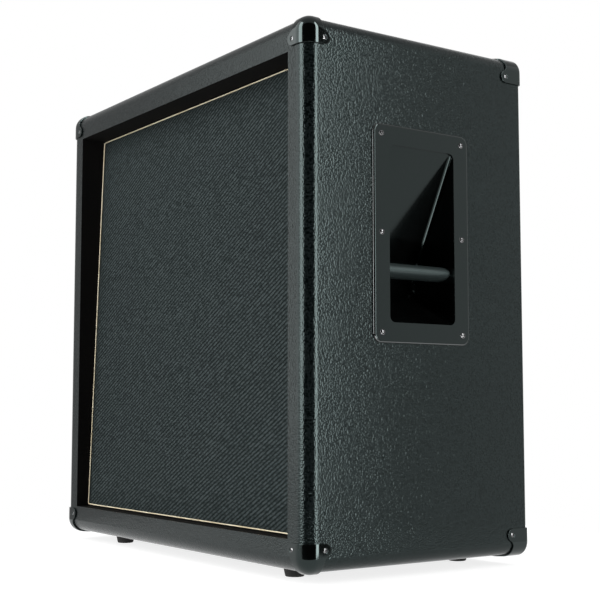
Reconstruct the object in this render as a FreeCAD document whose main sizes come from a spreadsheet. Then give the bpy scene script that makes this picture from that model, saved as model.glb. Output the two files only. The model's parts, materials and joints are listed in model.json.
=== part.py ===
import FreeCAD, Part
import math
import os

import Sketcher
from FreeCAD import Vector

# A closed-back guitar speaker cabinet with four twelve-inch drivers behind one grille.
# Frame: +Z up, the front faces -Y and +X is to the right of someone who faces the front.
# The origin is on the floor under the middle of the box. Lengths are in millimetres.

DIMENSIONS = {
    # Box, measured over its covering
    "cabinet_width": 672.0,
    "cabinet_height": 678.0,
    "cabinet_depth": 364.0,
    "edge_radius": 18.5,
    "rear_edge_radius": 3.0,
    "covering_thickness": 0.8,
    "board_thickness": 18.0,
    "finger_pairs": 6.0,
    # Front frame and the leaning recess inside it
    "front_margin_side": 37.5,
    "front_margin_top": 41.0,
    "front_margin_bottom": 39.5,
    "recess_bottom": 20.0,
    "baffle_tilt": 1.86,
    # Grille and baffle
    "cloth_thickness": 1.0,
    "grille_board_thickness": 12.0,
    "grille_bar_width": 24.0,
    "grille_clearance": 2.0,
    "piping_diameter": 1.8,
    "piping_corner_radius": 4.0,
    "baffle_thickness": 18.0,
    "baffle_clearance": 2.0,
    "baffle_screw_inset": 42.0,
    # Drivers
    "driver_clearance": 7.2,
    "driver_gap": 3.0,
    "flange_width": 13.5,
    "bolt_edge": 6.5,
    "bolts_per_driver": 4.0,
    "bolt_angle": 45.0,
    "gasket_thickness": 3.0,
    "surround_thickness": 0.8,
    "surround_pleats": 3.0,
    "pleat_height": 4.0,
    "frame_sheet": 2.0,
    "frame_rim_width": 17.0,
    "frame_neck_inset": 89.0,
    "frame_ledge_width": 10.0,
    "frame_rear_hole": 60.0,
    "frame_window_margin": 8.0,
    "frame_window_half_angle": 18.4,
    "frame_depth": 88.0,
    "surround_width": 19.0,
    "cone_depth": 56.0,
    "cone_thickness": 1.2,
    "dust_cap_diameter": 68.0,
    "dust_cap_rise": 11.0,
    "dust_cap_thickness": 0.8,
    "spider_depth": 68.0,
    "spider_thickness": 0.8,
    "spider_waves": 5.0,
    "spider_wave_height": 3.0,
    "pole_diameter": 43.0,
    "pole_vent_diameter": 12.0,
    "gap_clearance": 0.5,
    "former_thickness": 0.4,
    "winding_thickness": 0.7,
    "winding_length": 12.0,
    "front_plate_step": 7.0,
    "front_plate_thickness": 7.0,
    "magnet_ring_width": 45.0,
    "magnet_bore": 64.0,
    "magnet_thickness": 20.0,
    "back_plate_step": 9.0,
    "back_plate_thickness": 7.0,
    "terminal_width": 24.0,
    "terminal_height": 12.0,
    "terminal_thickness": 4.0,
    "terminal_wrap": 3.0,
    "lug_length": 12.0,
    "lug_width": 6.0,
    "lug_thickness": 1.0,
    "soft_gap": 0.3,
    # Back
    "back_thickness": 15.0,
    "back_inset": 3.0,
    "back_clearance": 1.0,
    "back_screw_pitch": 209.0,
    "batten_width": 20.0,
    "batten_depth": 22.0,
    "post_side": 40.0,
    # Handles, sunk into both sides
    "handle_height": 416.0,
    "handle_plate_width": 160.0,
    "handle_plate_height": 278.0,
    "handle_plate_thickness": 3.5,
    "handle_plate_corner": 12.0,
    "handle_plate_edge": 3.0,
    "handle_mouth_width": 109.0,
    "handle_mouth_height": 226.0,
    "handle_mouth_corner": 8.0,
    "handle_wall": 2.5,
    "handle_back_slope": 26.8,
    "handle_floor_slope": 32.0,
    "handle_apex_radius": 22.0,
    "handle_side_round": 5.0,
    "handle_screw_span_y": 134.5,
    "handle_screw_span_z": 252.0,
    "handle_board_clearance": 1.0,
    "grip_height": 19.0,
    "grip_depth": 44.0,
    "grip_setback": 5.0,
    "grip_rise": 69.0,
    # Corner caps
    "cap_thickness": 2.2,
    "cap_leg": 26.0,
    "cap_post": 36.0,
    "cap_ear_radius": 8.5,
    "cap_screw_inset": 27.5,
    "cap_flare_radius": 10.0,
    "cap_rear_lip": 16.0,
    "cap_screw_head_diameter": 7.2,
    "cap_screw_cone_depth": 2.0,
    "seat_gap": 0.1,
    # Feet
    "foot_height": 15.5,
    "foot_top_diameter": 31.0,
    "foot_bottom_diameter": 24.0,
    "foot_recess_depth": 7.0,
    "foot_recess_diameter": 12.0,
    "foot_side_inset": 101.5,
    "foot_front_inset": 55.0,
    "foot_rear_inset": 33.0,
    # Jack and its sunken plate
    "dish_height": 200.0,
    "dish_plate_side": 110.0,
    "dish_plate_thickness": 2.5,
    "dish_plate_corner": 8.0,
    "dish_mouth_side": 74.0,
    "dish_mouth_corner": 6.0,
    "dish_depth": 24.0,
    "dish_wall": 2.0,
    "dish_screw_span": 94.0,
    "dish_clearance": 1.0,
    "jack_bore": 6.5,
    "jack_bore_depth": 32.0,
    "jack_bush_diameter": 9.4,
    "jack_bush_length": 9.0,
    "jack_body_side": 22.0,
    "jack_body_depth": 26.0,
    "jack_nut_diameter": 15.0,
    "jack_nut_thickness": 3.0,
    # Fasteners
    "screw_head_diameter": 8.0,
    "screw_head_height": 2.6,
    "screw_head_rim": 1.0,
    "screw_head_flat_diameter": 4.8,
    "screw_shank_diameter": 3.5,
    "screw_length": 16.0,
    "baffle_screw_length": 36.0,
    "back_screw_length": 32.0,
    "screw_clearance": 0.1,
    "drill_overrun": 1.0,
    "bolt_head_diameter": 9.0,
    "bolt_head_height": 3.2,
    "bolt_shank_diameter": 5.0,
    "bolt_length": 20.0,
    "bolt_clearance": 0.2,
    "tee_flange_diameter": 18.0,
    "tee_flange_thickness": 1.2,
    "tee_barrel_diameter": 6.8,
    "tee_barrel_length": 9.0,
    # Inside wiring
    "lead_diameter": 5.0,
    "lead_spread": 5.4,
    "lead_gap": 0.3,
}

doc = FreeCAD.newDocument("SpeakerCabinet")
sheet = doc.addObject("Spreadsheet::Sheet", "Dimensions")
for row, (alias, number) in enumerate(DIMENSIONS.items(), start=1):
    sheet.set(f"A{row}", alias)
    sheet.set(f"B{row}", str(number))
    sheet.setAlias(f"B{row}", alias)
doc.recompute()


class Size:
    """A length, angle or count that carries its number and the sheet expression that gives it."""

    def __init__(self, value, text):
        self.value = value
        self.text = text

    @staticmethod
    def of(item):
        if isinstance(item, Size):
            return item
        return Size(float(item), f"({float(item)})")

    def join(self, sign, other, value):
        return Size(value, f"({self.text} {sign} {other.text})")

    def __add__(self, other):
        other = Size.of(other)
        return self.join("+", other, self.value + other.value)

    def __radd__(self, other):
        return Size.of(other) + self

    def __sub__(self, other):
        other = Size.of(other)
        return self.join("-", other, self.value - other.value)

    def __rsub__(self, other):
        return Size.of(other) - self

    def __mul__(self, other):
        other = Size.of(other)
        return self.join("*", other, self.value * other.value)

    def __rmul__(self, other):
        return Size.of(other) * self

    def __truediv__(self, other):
        other = Size.of(other)
        return self.join("/", other, self.value / other.value)

    def __rtruediv__(self, other):
        return Size.of(other) / self

    def __neg__(self):
        return Size(-self.value, f"(-{self.text})")

    def sin(self):
        return Size(math.sin(math.radians(self.value)), f"sin({self.text})")

    def cos(self):
        return Size(math.cos(math.radians(self.value)), f"cos({self.text})")

    def tan(self):
        return Size(math.tan(math.radians(self.value)), f"tan({self.text})")

    def least(self, other):
        return Size(min(self.value, other.value), f"min({self.text}; {other.text})")


class Sheet:
    """Gives each cell of the sheet as a Size, by its alias."""

    def __getattr__(self, alias):
        return Size(float(sheet.get(alias)), f"Dimensions.{alias}")


dim = Sheet()


# Document helpers
def add(kind, label):
    item = doc.addObject(kind, label)
    item.Label = label
    return item


def bind(item, **sizes):
    for name, size in sizes.items():
        item.setExpression(name, Size.of(size).text)
    return item


def place(item, spot=(0, 0, 0), axis=(0, 0, 1), angle=0):
    x, y, z = (Size.of(value).text for value in spot)
    vector = f"create(<<vector>>; {x}; {y}; {z})"
    direction = "create(<<vector>>; {}; {}; {})".format(*axis)
    rotation = f"create(<<rotation>>; {direction}; {Size.of(angle).text})"
    item.setExpression("Placement", f"create(<<placement>>; {vector}; {rotation})")
    return item


def block(label, low, high):
    """A box between two corners."""
    length, width, height = (Size.of(top) - bottom for bottom, top in zip(low, high))
    return place(bind(add("Part::Box", label), Length=length, Width=width, Height=height), low)


def rod_along_y(label, spot, diameter, length):
    """A cylinder that starts at a point and runs towards +Y."""
    item = bind(add("Part::Cylinder", label), Radius=Size.of(diameter) / 2, Height=length)
    return place(item, spot, axis=(1, 0, 0), angle=-90)


def cut(label, base, tool):
    item = add("Part::Cut", label)
    item.Base = base
    item.Tool = tool
    return item


def fuse(label, *items):
    item = add("Part::MultiFuse", label)
    item.Shapes = list(items)
    return item


def common(label, *items):
    item = add("Part::MultiCommon", label)
    item.Shapes = list(items)
    return item


def group(label, items):
    item = add("Part::Compound", label)
    item.Links = list(items)
    return item


def copy_of(form, number, spot, axis=(0, 0, 1), angle=0):
    return place(group(f"{form.Label}_at_{number}", [form]), spot, axis, angle)


def copies(label, form, places):
    """A group of separate copies of one form, each place a spot, or a spot, an axis and an angle."""
    return group(label, [copy_of(form, f"{label}_{k}", *spot) for k, spot in enumerate(places)])


# Sketch helpers
def sketch_on(body, role):
    plane = next(item for item in body.Origin.OriginFeatures if item.Role == role)
    sketch = body.newObject("Sketcher::SketchObject", f"{body.Name}_sketch")
    sketch.AttachmentSupport = (plane, [""])
    sketch.MapMode = "FlatFace"
    return sketch


def dimension(sketch, kind, places, size):
    size = Size.of(size)
    index = sketch.addConstraint(Sketcher.Constraint(kind, *places, size.value))
    sketch.setExpression(f"Constraints[{index}]", size.text)


def outline(sketch, points):
    """A closed outline of straight lines, with each corner dimensioned from the sketch's origin."""
    points = [(Size.of(across), Size.of(up)) for across, up in points]
    spots = [Vector(across.value, up.value, 0) for across, up in points]
    ends = spots[1:] + spots[:1]
    lines = [sketch.addGeometry(Part.LineSegment(*pair)) for pair in zip(spots, ends)]
    for k, line in enumerate(lines):
        sketch.addConstraint(Sketcher.Constraint("Coincident", line, 2, lines[(k + 1) % len(lines)], 1))
    for line, (across, up) in zip(lines, points):
        dimension(sketch, "DistanceX", (-1, 1, line, 1), across)
        dimension(sketch, "DistanceY", (-1, 1, line, 1), up)


def rectangle(sketch, low, high):
    outline(sketch, [low, (high[0], low[1]), high, (low[0], high[1])])


def circle(sketch, across, up, diameter):
    across, up, diameter = Size.of(across), Size.of(up), Size.of(diameter)
    shape = Part.Circle(Vector(across.value, up.value, 0), Vector(0, 0, 1), diameter.value / 2)
    ring = sketch.addGeometry(shape)
    dimension(sketch, "DistanceX", (-1, 1, ring, 3), across)
    dimension(sketch, "DistanceY", (-1, 1, ring, 3), up)
    dimension(sketch, "Diameter", (ring,), diameter)


def rounded_rectangle(sketch, width, height, radius):
    """A rectangle about the sketch's origin, with four equal round corners."""
    a, b, r = width.value / 2, height.value / 2, radius.value
    ends = [
        ((r - a, -b), (a - r, -b)),
        ((a, r - b), (a, b - r)),
        ((a - r, b), (r - a, b)),
        ((-a, b - r), (-a, r - b)),
    ]
    centres = [(a - r, r - b), (a - r, b - r), (r - a, b - r), (r - a, r - b)]
    lines, arcs = [], []
    for k, (start, end) in enumerate(ends):
        lines.append(sketch.addGeometry(Part.LineSegment(Vector(*start, 0), Vector(*end, 0))))
        corner = Part.Circle(Vector(*centres[k], 0), Vector(0, 0, 1), r)
        turn = (k - 1) * math.pi / 2
        arcs.append(sketch.addGeometry(Part.ArcOfCircle(corner, turn, turn + math.pi / 2)))
    for k in range(4):
        sketch.addConstraint(Sketcher.Constraint("Tangent", lines[k], 2, arcs[k], 1))
        sketch.addConstraint(Sketcher.Constraint("Tangent", arcs[k], 2, lines[(k + 1) % 4], 1))
    for k in (0, 2):
        sketch.addConstraint(Sketcher.Constraint("Horizontal", lines[k]))
        sketch.addConstraint(Sketcher.Constraint("Vertical", lines[k + 1]))
    for k in range(3):
        sketch.addConstraint(Sketcher.Constraint("Equal", arcs[k], arcs[k + 1]))
    sketch.addConstraint(Sketcher.Constraint("Symmetric", arcs[3], 3, arcs[1], 3, -1, 1))
    dimension(sketch, "DistanceX", (lines[3], 1, lines[1], 1), width)
    dimension(sketch, "DistanceY", (lines[0], 1, lines[2], 1), height)
    dimension(sketch, "Radius", (arcs[0],), radius)


def pad(body, sketch, length, symmetric=False, reverse=False):
    feature = body.newObject("PartDesign::Pad", f"{body.Name}_pad")
    feature.Profile = sketch
    feature.SideType = "Symmetric" if symmetric else "One side"
    feature.Reversed = reverse
    return bind(feature, Length=length)


def pocket_through(body, sketch):
    feature = body.newObject("PartDesign::Pocket", f"{body.Name}_pocket")
    feature.Profile = sketch
    feature.Type = "ThroughAll"
    feature.SideType = "Symmetric"
    return feature


def pattern_line(body, feature, sketch, axis, length, count):
    pattern = body.newObject("PartDesign::LinearPattern", f"{body.Name}_row")
    pattern.Originals = [feature]
    pattern.Direction = (sketch, [axis])
    bind(pattern, Length=length, Occurrences=count)
    body.Tip = pattern


def pattern_round(body, feature, sketch, count):
    pattern = body.newObject("PartDesign::PolarPattern", f"{body.Name}_ring")
    pattern.Originals = [feature]
    pattern.Axis = (sketch, ["N_Axis"])
    pattern.Angle = 360
    bind(pattern, Occurrences=count)
    body.Tip = pattern


def round_edges(body, feature, radius, chosen):
    """Rounds the edges of a feature whose bounding box the test picks."""
    doc.recompute()
    names = [f"Edge{k}" for k, edge in enumerate(feature.Shape.Edges, start=1) if chosen(edge.BoundBox)]
    fillet = body.newObject("PartDesign::Fillet", f"{body.Name}_fillet")
    fillet.Base = (feature, names)
    bind(fillet, Radius=radius)
    return fillet


def revolved(label, points):
    """A body turned about its Y axis, from an outline of radius and Y."""
    body = add("PartDesign::Body", label)
    sketch = sketch_on(body, "XY_Plane")
    outline(sketch, points)
    turn = body.newObject("PartDesign::Revolution", f"{label}_turn")
    turn.Profile = sketch
    turn.ReferenceAxis = (sketch, ["V_Axis"])
    turn.Angle = 360
    return body


def near(value, target):
    return abs(value - target) < 1e-4


# Levels and faces that the pieces share
box_bottom = dim.foot_height
box_top = dim.foot_height + dim.cabinet_height
half_width = dim.cabinet_width / 2
half_depth = dim.cabinet_depth / 2
skin = dim.covering_thickness
wall = dim.covering_thickness + dim.board_thickness
inside_x = half_width - wall
inside_low = box_bottom + wall
inside_high = box_top - wall
inside_up = (inside_high - inside_low) / 2
wood_x = half_width - skin
wood_y = half_depth - skin
wood_low = box_bottom + skin
wood_high = box_top - skin
opening_x = half_width - dim.front_margin_side
opening_low = box_bottom + dim.front_margin_bottom
opening_high = box_top - dim.front_margin_top
handle_z = box_bottom + dim.handle_height
back_face = half_depth - dim.back_inset
back_front = back_face - dim.back_thickness
dish_z = box_bottom + dim.dish_height
reach = dim.cabinet_depth * 2

# The leaning frame of the grille and baffle: its Y runs from the cloth's face to the rear
lean_rise = (opening_high - opening_low) / 2
lean_y = dim.recess_bottom - half_depth + lean_rise * dim.baffle_tilt.tan()
lean_z = opening_low + lean_rise
grille_rear = dim.cloth_thickness + dim.grille_board_thickness
baffle_rear = grille_rear + dim.baffle_thickness
lean_height = lean_rise / dim.baffle_tilt.cos()


def leaning(x, y, z):
    """A point of the leaning frame, in the cabinet's frame."""
    lean, fall = dim.baffle_tilt.sin(), dim.baffle_tilt.cos()
    return (x, lean_y + fall * y + lean * z, lean_z - lean * y + fall * z)


def lean_item(item, x=0, y=0, z=0):
    return place(item, leaning(x, y, z), axis=(-1, 0, 0), angle=dim.baffle_tilt)


# Rounded boxes that bound the boards, the covering and the caps
def rounded_box(label, grow):
    """The box with its front and lengthwise edges rounded, grown or shrunk all round."""
    body = add("PartDesign::Body", label)
    sketch = sketch_on(body, "XY_Plane")
    across, along = half_width + grow, half_depth + grow
    rectangle(sketch, (-across, -along), (across, along))
    base = pad(body, sketch, dim.cabinet_height + 2 * grow)
    front, rear = -along.value, along.value

    def outer_edge(box):
        return near(box.YMax, front) or box.YLength > along.value

    soft = round_edges(body, base, dim.edge_radius + grow, outer_edge)
    round_edges(body, soft, dim.rear_edge_radius + grow, lambda box: near(box.YMin, rear))
    return place(body, (0, 0, box_bottom - grow))


covering_form = rounded_box("covering_form", Size.of(0))
wood_form = rounded_box("wood_form", -skin)
cap_inner_form = rounded_box("cap_inner_form", dim.seat_gap)
cap_outer_form = rounded_box("cap_outer_form", dim.seat_gap + dim.cap_thickness)

# Where the outside screws go: spot, axis and angle that turn a screw's head outwards
FACE_TURNS = {
    "front": ((1, 0, 0), 180),
    "rear": ((1, 0, 0), 0),
    "right": ((0, 0, 1), -90),
    "left": ((0, 0, 1), 90),
    "top": ((1, 0, 0), 90),
    "bottom": ((1, 0, 0), -90),
}
SIDES = (-1, 1)
ENDS_AND_MIDDLE = (-1, 0, 1)


def cap_screw_spots():
    """The cap screws end flush with the caps, three to a front corner and two to a rear one."""
    lift = dim.seat_gap + dim.cap_thickness
    inset = dim.cap_screw_inset
    spots = []
    for side in SIDES:
        for end in SIDES:
            for level, height in (("bottom", box_bottom), ("top", box_top)):
                up = 1 if level == "top" else -1
                x, y = side * (half_width - inset), end * (half_depth - inset)
                z = height - up * inset
                turn = FACE_TURNS["right" if side > 0 else "left"]
                spots.append(((side * (half_width + lift), y, z), *turn))
                spots.append(((x, y, height + up * lift), *FACE_TURNS[level]))
                if end < 0:
                    spots.append(((x, -half_depth - lift, z), *FACE_TURNS["front"]))
    return spots


def handle_screw_spots():
    spots = []
    for side in SIDES:
        x = side * (half_width + dim.handle_plate_thickness)
        for along in SIDES:
            for level in ENDS_AND_MIDDLE:
                y = along * dim.handle_screw_span_y / 2
                z = handle_z + level * dim.handle_screw_span_z / 2
                spots.append(((x, y, z), *FACE_TURNS["right" if side > 0 else "left"]))
    return spots


FOOT_SPOTS = [
    (side * (half_width - dim.foot_side_inset), y)
    for y in (dim.foot_front_inset - half_depth, half_depth - dim.foot_rear_inset)
    for side in SIDES
]


def screw_form(label, length):
    """A pan-head screw along Y, its head on the +Y side of the origin."""
    head, shank = dim.screw_head_diameter / 2, dim.screw_shank_diameter / 2
    rise = dim.screw_head_height
    return revolved(
        label,
        [
            (0, -length),
            (shank, shank - length),
            (shank, 0),
            (head, 0),
            (head, dim.screw_head_rim),
            (dim.screw_head_flat_diameter / 2, rise),
            (0, rise),
        ],
    )


def drill_form(label, length):
    """The hole that a screw's shank needs, a little longer than the shank."""
    radius = dim.screw_shank_diameter / 2 + dim.screw_clearance
    deep = length + dim.drill_overrun
    return revolved(label, [(0, -deep), (radius, -deep), (radius, deep), (0, deep)])


def flush_screw():
    """A screw whose cone-shaped head ends flush with the cap."""
    head, shank = dim.cap_screw_head_diameter / 2, dim.screw_shank_diameter / 2
    length, cone = dim.screw_length, dim.cap_screw_cone_depth
    points = [(0, -length), (shank, shank - length), (shank, -cone), (head, 0), (0, 0)]
    return revolved("flush_screw", points)


def flush_drill():
    """The countersunk hole of a flush screw."""
    head = dim.cap_screw_head_diameter / 2 + dim.screw_clearance
    shank = dim.screw_shank_diameter / 2 + dim.screw_clearance
    over, cone = dim.drill_overrun, dim.cap_screw_cone_depth
    deep = dim.screw_length + over
    points = [(0, -deep), (shank, -deep), (shank, -cone), (head, 0), (head, over), (0, over)]
    return revolved("flush_drill", points)


wood_screw = screw_form("wood_screw", dim.screw_length)
wood_drill = drill_form("wood_drill", dim.screw_length)
foot_screw_spots = [((x, y, dim.foot_recess_depth), *FACE_TURNS["bottom"]) for x, y in FOOT_SPOTS]
corner_drills = copies("corner_drills", flush_drill(), cap_screw_spots())
plain_drills = copies("plain_drills", wood_drill, handle_screw_spots() + foot_screw_spots)
outside_drills = group("outside_drills", [corner_drills, plain_drills])
corner_screws = copies("corner_screws", flush_screw(), cap_screw_spots())
handle_screws = copies("handle_screws", wood_screw, handle_screw_spots())
foot_screws = copies("foot_screws", wood_screw, foot_screw_spots)

# Boards of the box, finger jointed at the four lengthwise corners
finger = 2 * wood_y / (2 * dim.finger_pairs + 1)
handle_hole_width = dim.handle_mouth_width + 2 * (dim.handle_wall + dim.handle_board_clearance)
scoop_lift = dim.handle_wall / dim.handle_back_slope.sin()
scoop_drop = dim.handle_wall / dim.handle_floor_slope.cos()


def finish_board(label, blank):
    """Rounds a blank to the box and drills it."""
    return cut(label, common(f"{label}_rounded", blank, wood_form), outside_drills)


def flat_board(label, low):
    """The top or bottom board, with slots for the side boards' fingers."""
    body = add("PartDesign::Body", f"{label}_blank")
    sketch = sketch_on(body, "XY_Plane")
    rectangle(sketch, (-wood_x, -wood_y), (wood_x, wood_y))
    pad(body, sketch, dim.board_thickness)
    slots = sketch_on(body, "XY_Plane")
    for side in SIDES:
        inner, outer = side * inside_x, side * half_width
        rectangle(slots, (inner, -wood_y), (outer, finger - wood_y))
    slot = pocket_through(body, slots)
    pattern_line(body, slot, slots, "V_Axis", 2 * finger * dim.finger_pairs, dim.finger_pairs + 1)
    place(body, (0, 0, low))
    return finish_board(label, body)


def side_board(label, side):
    """A side board, with slots for the flat boards' fingers and the handle's hole."""
    body = add("PartDesign::Body", f"{label}_blank")
    sketch = sketch_on(body, "YZ_Plane")
    rectangle(sketch, (-wood_y, wood_low - handle_z), (wood_y, wood_high - handle_z))
    pad(body, sketch, dim.board_thickness, reverse=side > 0)
    slots = sketch_on(body, "YZ_Plane")
    for low, high in ((box_bottom, inside_low), (inside_high, box_top)):
        rectangle(slots, (finger - wood_y, low - handle_z), (2 * finger - wood_y, high - handle_z))
    slot = pocket_through(body, slots)
    pattern_line(body, slot, slots, "H_Axis", 2 * finger * (dim.finger_pairs - 1), dim.finger_pairs)
    place(body, (side * wood_x, 0, handle_z))
    return finish_board(label, cut(f"{label}_holed", body, handle_holes))


def handle_hole():
    """The hole through a side for the handle's cup."""
    half = handle_hole_width / 2
    low = handle_z - dim.handle_mouth_height / 2 - scoop_drop - dim.handle_board_clearance
    high = handle_z + dim.handle_mouth_height / 2 + scoop_lift + dim.handle_board_clearance
    return block("handle_holes", (-half_width - skin, -half, low), (half_width + skin, half, high))


handle_holes = handle_hole()
top_panel = flat_board("top_panel", inside_high)
bottom_panel = flat_board("bottom_panel", wood_low)
left_panel = side_board("left_panel", -1)
right_panel = side_board("right_panel", 1)

# Covering, a skin over the boards with the front, the back and the handles left open
front_hole = block("front_hole", (-opening_x, -reach, opening_low), (opening_x, 0, opening_high))
rear_hole = block("rear_hole", (-inside_x, 0, inside_low), (inside_x, reach, inside_high))
covering_shell = cut("covering_shell", covering_form, wood_form)
covering_holes = fuse("covering_holes", front_hole, rear_hole, handle_holes)
covering_open = cut("covering_open", covering_shell, covering_holes)
vinyl_covering = cut("vinyl_covering", covering_open, outside_drills)


# Grille: a board frame, the cloth over it and the piping round its edge
grille_x = opening_x - dim.grille_clearance
grille_up = lean_height - dim.grille_clearance


def leaning_plate(label, across, up, thickness, front):
    body = add("PartDesign::Body", label)
    sketch = sketch_on(body, "XZ_Plane")
    rectangle(sketch, (-across, -up), (across, up))
    pad(body, sketch, thickness, reverse=True)
    return lean_item(body, y=front)


def grille_board():
    thickness, front = dim.grille_board_thickness, dim.cloth_thickness
    body = leaning_plate("grille_frame", grille_x, grille_up, thickness, front)
    sketch = sketch_on(body, "XZ_Plane")
    bar = dim.grille_bar_width
    for side in SIDES:
        near_x, far_x = side * bar / 2, side * (grille_x - bar)
        rectangle(sketch, (near_x, bar - grille_up), (far_x, grille_up - bar))
    pocket_through(body, sketch)
    return body


def piping_ring():
    body = add("PartDesign::Body", "grille_piping")
    radius = dim.piping_diameter / 2
    path = sketch_on(body, "XZ_Plane")
    rounded_rectangle(path, 2 * (grille_x - radius), 2 * (grille_up - radius), dim.piping_corner_radius)
    section = sketch_on(body, "YZ_Plane")
    circle(section, 0, grille_up - radius, dim.piping_diameter)
    pipe = body.newObject("PartDesign::AdditivePipe", "piping_sweep")
    pipe.Profile = section
    pipe.Spine = (path, [])
    return lean_item(body, y=-radius)


grille_cloth = leaning_plate("grille_cloth", grille_x, grille_up, dim.cloth_thickness, 0)
grille_frame = grille_board()
grille_piping = piping_ring()

# Baffle with its driver holes, bolted and screwed from behind
baffle_x = inside_x - dim.baffle_clearance
baffle_up = inside_up / dim.baffle_tilt.cos() - dim.baffle_clearance
baffle_shift = (inside_high + inside_low) / 2 - lean_z
driver_r = (inside_x.least(inside_up) - dim.driver_clearance) / 2
driver_step = driver_r + dim.driver_gap / 2
cutout_r = driver_r - dim.flange_width
bolt_r = driver_r - dim.bolt_edge
DRIVER_SPOTS = [(x * driver_step, z * driver_step) for z in (1, -1) for x in SIDES]
lining_x = (opening_x + inside_x) / 2
lining_up = (lean_height + baffle_up) / 2
screw_x = grille_x - dim.baffle_screw_inset
screw_up = grille_up - dim.baffle_screw_inset
BAFFLE_SCREW_SPOTS = [(side * lining_x, step * screw_up) for side in SIDES for step in ENDS_AND_MIDDLE]
BAFFLE_SCREW_SPOTS += [(step * screw_x, side * lining_up) for side in SIDES for step in ENDS_AND_MIDDLE]


def bolt_spot(number):
    """A bolt's place about the axis of its driver."""
    turn = dim.bolt_angle + number * 360 / dim.bolts_per_driver
    return bolt_r * turn.cos(), bolt_r * turn.sin()


BOLT_ROUND = [bolt_spot(number) for number in range(int(dim.bolts_per_driver.value))]
BOLT_SPOTS = [(x + across, z + up) for x, z in DRIVER_SPOTS for across, up in BOLT_ROUND]
tee_drill = dim.tee_barrel_diameter + 2 * dim.bolt_clearance
screw_drill = dim.screw_shank_diameter + 2 * dim.screw_clearance


def leaning_spots(spots, y):
    """Places in the leaning frame for copies whose heads face the rear."""
    return [(leaning(x, y, z), (-1, 0, 0), dim.baffle_tilt) for x, z in spots]


def tee_sink():
    """The shallow seat of a tee nut's flange."""
    radius = dim.tee_flange_diameter / 2 + dim.bolt_clearance
    front, rear = -dim.drill_overrun, dim.tee_flange_thickness
    return revolved("tee_sink", [(0, front), (radius, front), (radius, rear), (0, rear)])


def baffle_board():
    body = add("PartDesign::Body", "baffle_blank")
    sketch = sketch_on(body, "XZ_Plane")
    rectangle(sketch, (-baffle_x, baffle_shift - baffle_up), (baffle_x, baffle_shift + baffle_up))
    pad(body, sketch, dim.baffle_thickness, reverse=True)
    holes = sketch_on(body, "XZ_Plane")
    for x, z in DRIVER_SPOTS:
        circle(holes, x, z, 2 * cutout_r)
    for x, z in BOLT_SPOTS:
        circle(holes, x, z, tee_drill)
    for x, z in BAFFLE_SCREW_SPOTS:
        circle(holes, x, z, screw_drill)
    pocket_through(body, holes)
    sinks = copies("tee_sinks", tee_sink(), leaning_spots(BOLT_SPOTS, grille_rear))
    return cut("baffle", lean_item(body, y=grille_rear), sinks)


baffle = baffle_board()
baffle_screw = screw_form("baffle_screw", dim.baffle_screw_length)
baffle_drill = drill_form("baffle_drill", dim.baffle_screw_length)


baffle_screws = copies("baffle_screws", baffle_screw, leaning_spots(BAFFLE_SCREW_SPOTS, baffle_rear))
lining_drills = copies("lining_drills", baffle_drill, leaning_spots(BAFFLE_SCREW_SPOTS, baffle_rear))

# Strips that line the front opening, their rear faces cut to the baffle's lean
behind = block("behind", (-reach, 0, -reach), (reach, reach, reach))
lean_space = lean_item(group("lean_space", [behind]), y=grille_rear)


def lining_strip(label, low, high):
    blank = block(f"{label}_blank", (low[0], -wood_y, low[1]), (high[0], 0, high[1]))
    leaning_strip = cut(f"{label}_leaning", blank, lean_space)
    rounded_strip = common(f"{label}_rounded", leaning_strip, wood_form)
    return cut(label, cut(f"{label}_drilled", rounded_strip, outside_drills), lining_drills)


LINING = [
    lining_strip("front_lining_top", (-inside_x, opening_high), (inside_x, inside_high)),
    lining_strip("front_lining_bottom", (-inside_x, inside_low), (inside_x, opening_low)),
    lining_strip("front_lining_left", (-inside_x, opening_low), (-opening_x, opening_high)),
    lining_strip("front_lining_right", (opening_x, opening_low), (inside_x, opening_high)),
]

# Drivers, drawn about their own Y axis with the mounting face at zero and the magnet behind
mouth_r = driver_r - dim.frame_rim_width
neck_r = driver_r - dim.frame_neck_inset
ledge_r = neck_r + dim.frame_ledge_width
flange_front = dim.gasket_thickness + dim.surround_thickness
flange_rear = flange_front + dim.frame_sheet
pole_r = dim.pole_diameter / 2
former_in = pole_r + dim.gap_clearance
former_out = former_in + dim.former_thickness
winding_out = former_out + dim.winding_thickness
plate_hole_r = winding_out + dim.gap_clearance
cone_r = mouth_r - dim.surround_width
cone_rear = dim.gasket_thickness + dim.cone_depth
cone_neck_r = former_out + dim.soft_gap
plate_rear = dim.frame_depth + dim.front_plate_thickness
magnet_rear = plate_rear + dim.magnet_thickness
yoke_rear = magnet_rear + dim.back_plate_thickness
magnet_r = dim.magnet_bore / 2 + dim.magnet_ring_width
plate_r = magnet_r - dim.front_plate_step
back_plate_r = magnet_r - dim.back_plate_step


def bolt_holes(body):
    """Round holes for the mounting bolts, on the bolt circle."""
    sketch = sketch_on(body, "XZ_Plane")
    circle(sketch, *BOLT_ROUND[0], dim.bolt_shank_diameter + 2 * dim.bolt_clearance)
    hole = pocket_through(body, sketch)
    pattern_round(body, hole, sketch, dim.bolts_per_driver)
    return body


def band(front, thickness):
    """A thin band of even thickness along Y, from the points of its front side."""
    return front + [(radius, y + thickness) for radius, y in reversed(front)]


def pleats(inner, outer, y, height, count):
    """Front points of a zigzag between two radii, from the outer one inwards."""
    step = (outer - inner) / (2 * count)
    return [(outer - k * step, y - height * (k % 2)) for k in range(int(2 * count.value) + 1)]


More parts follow.
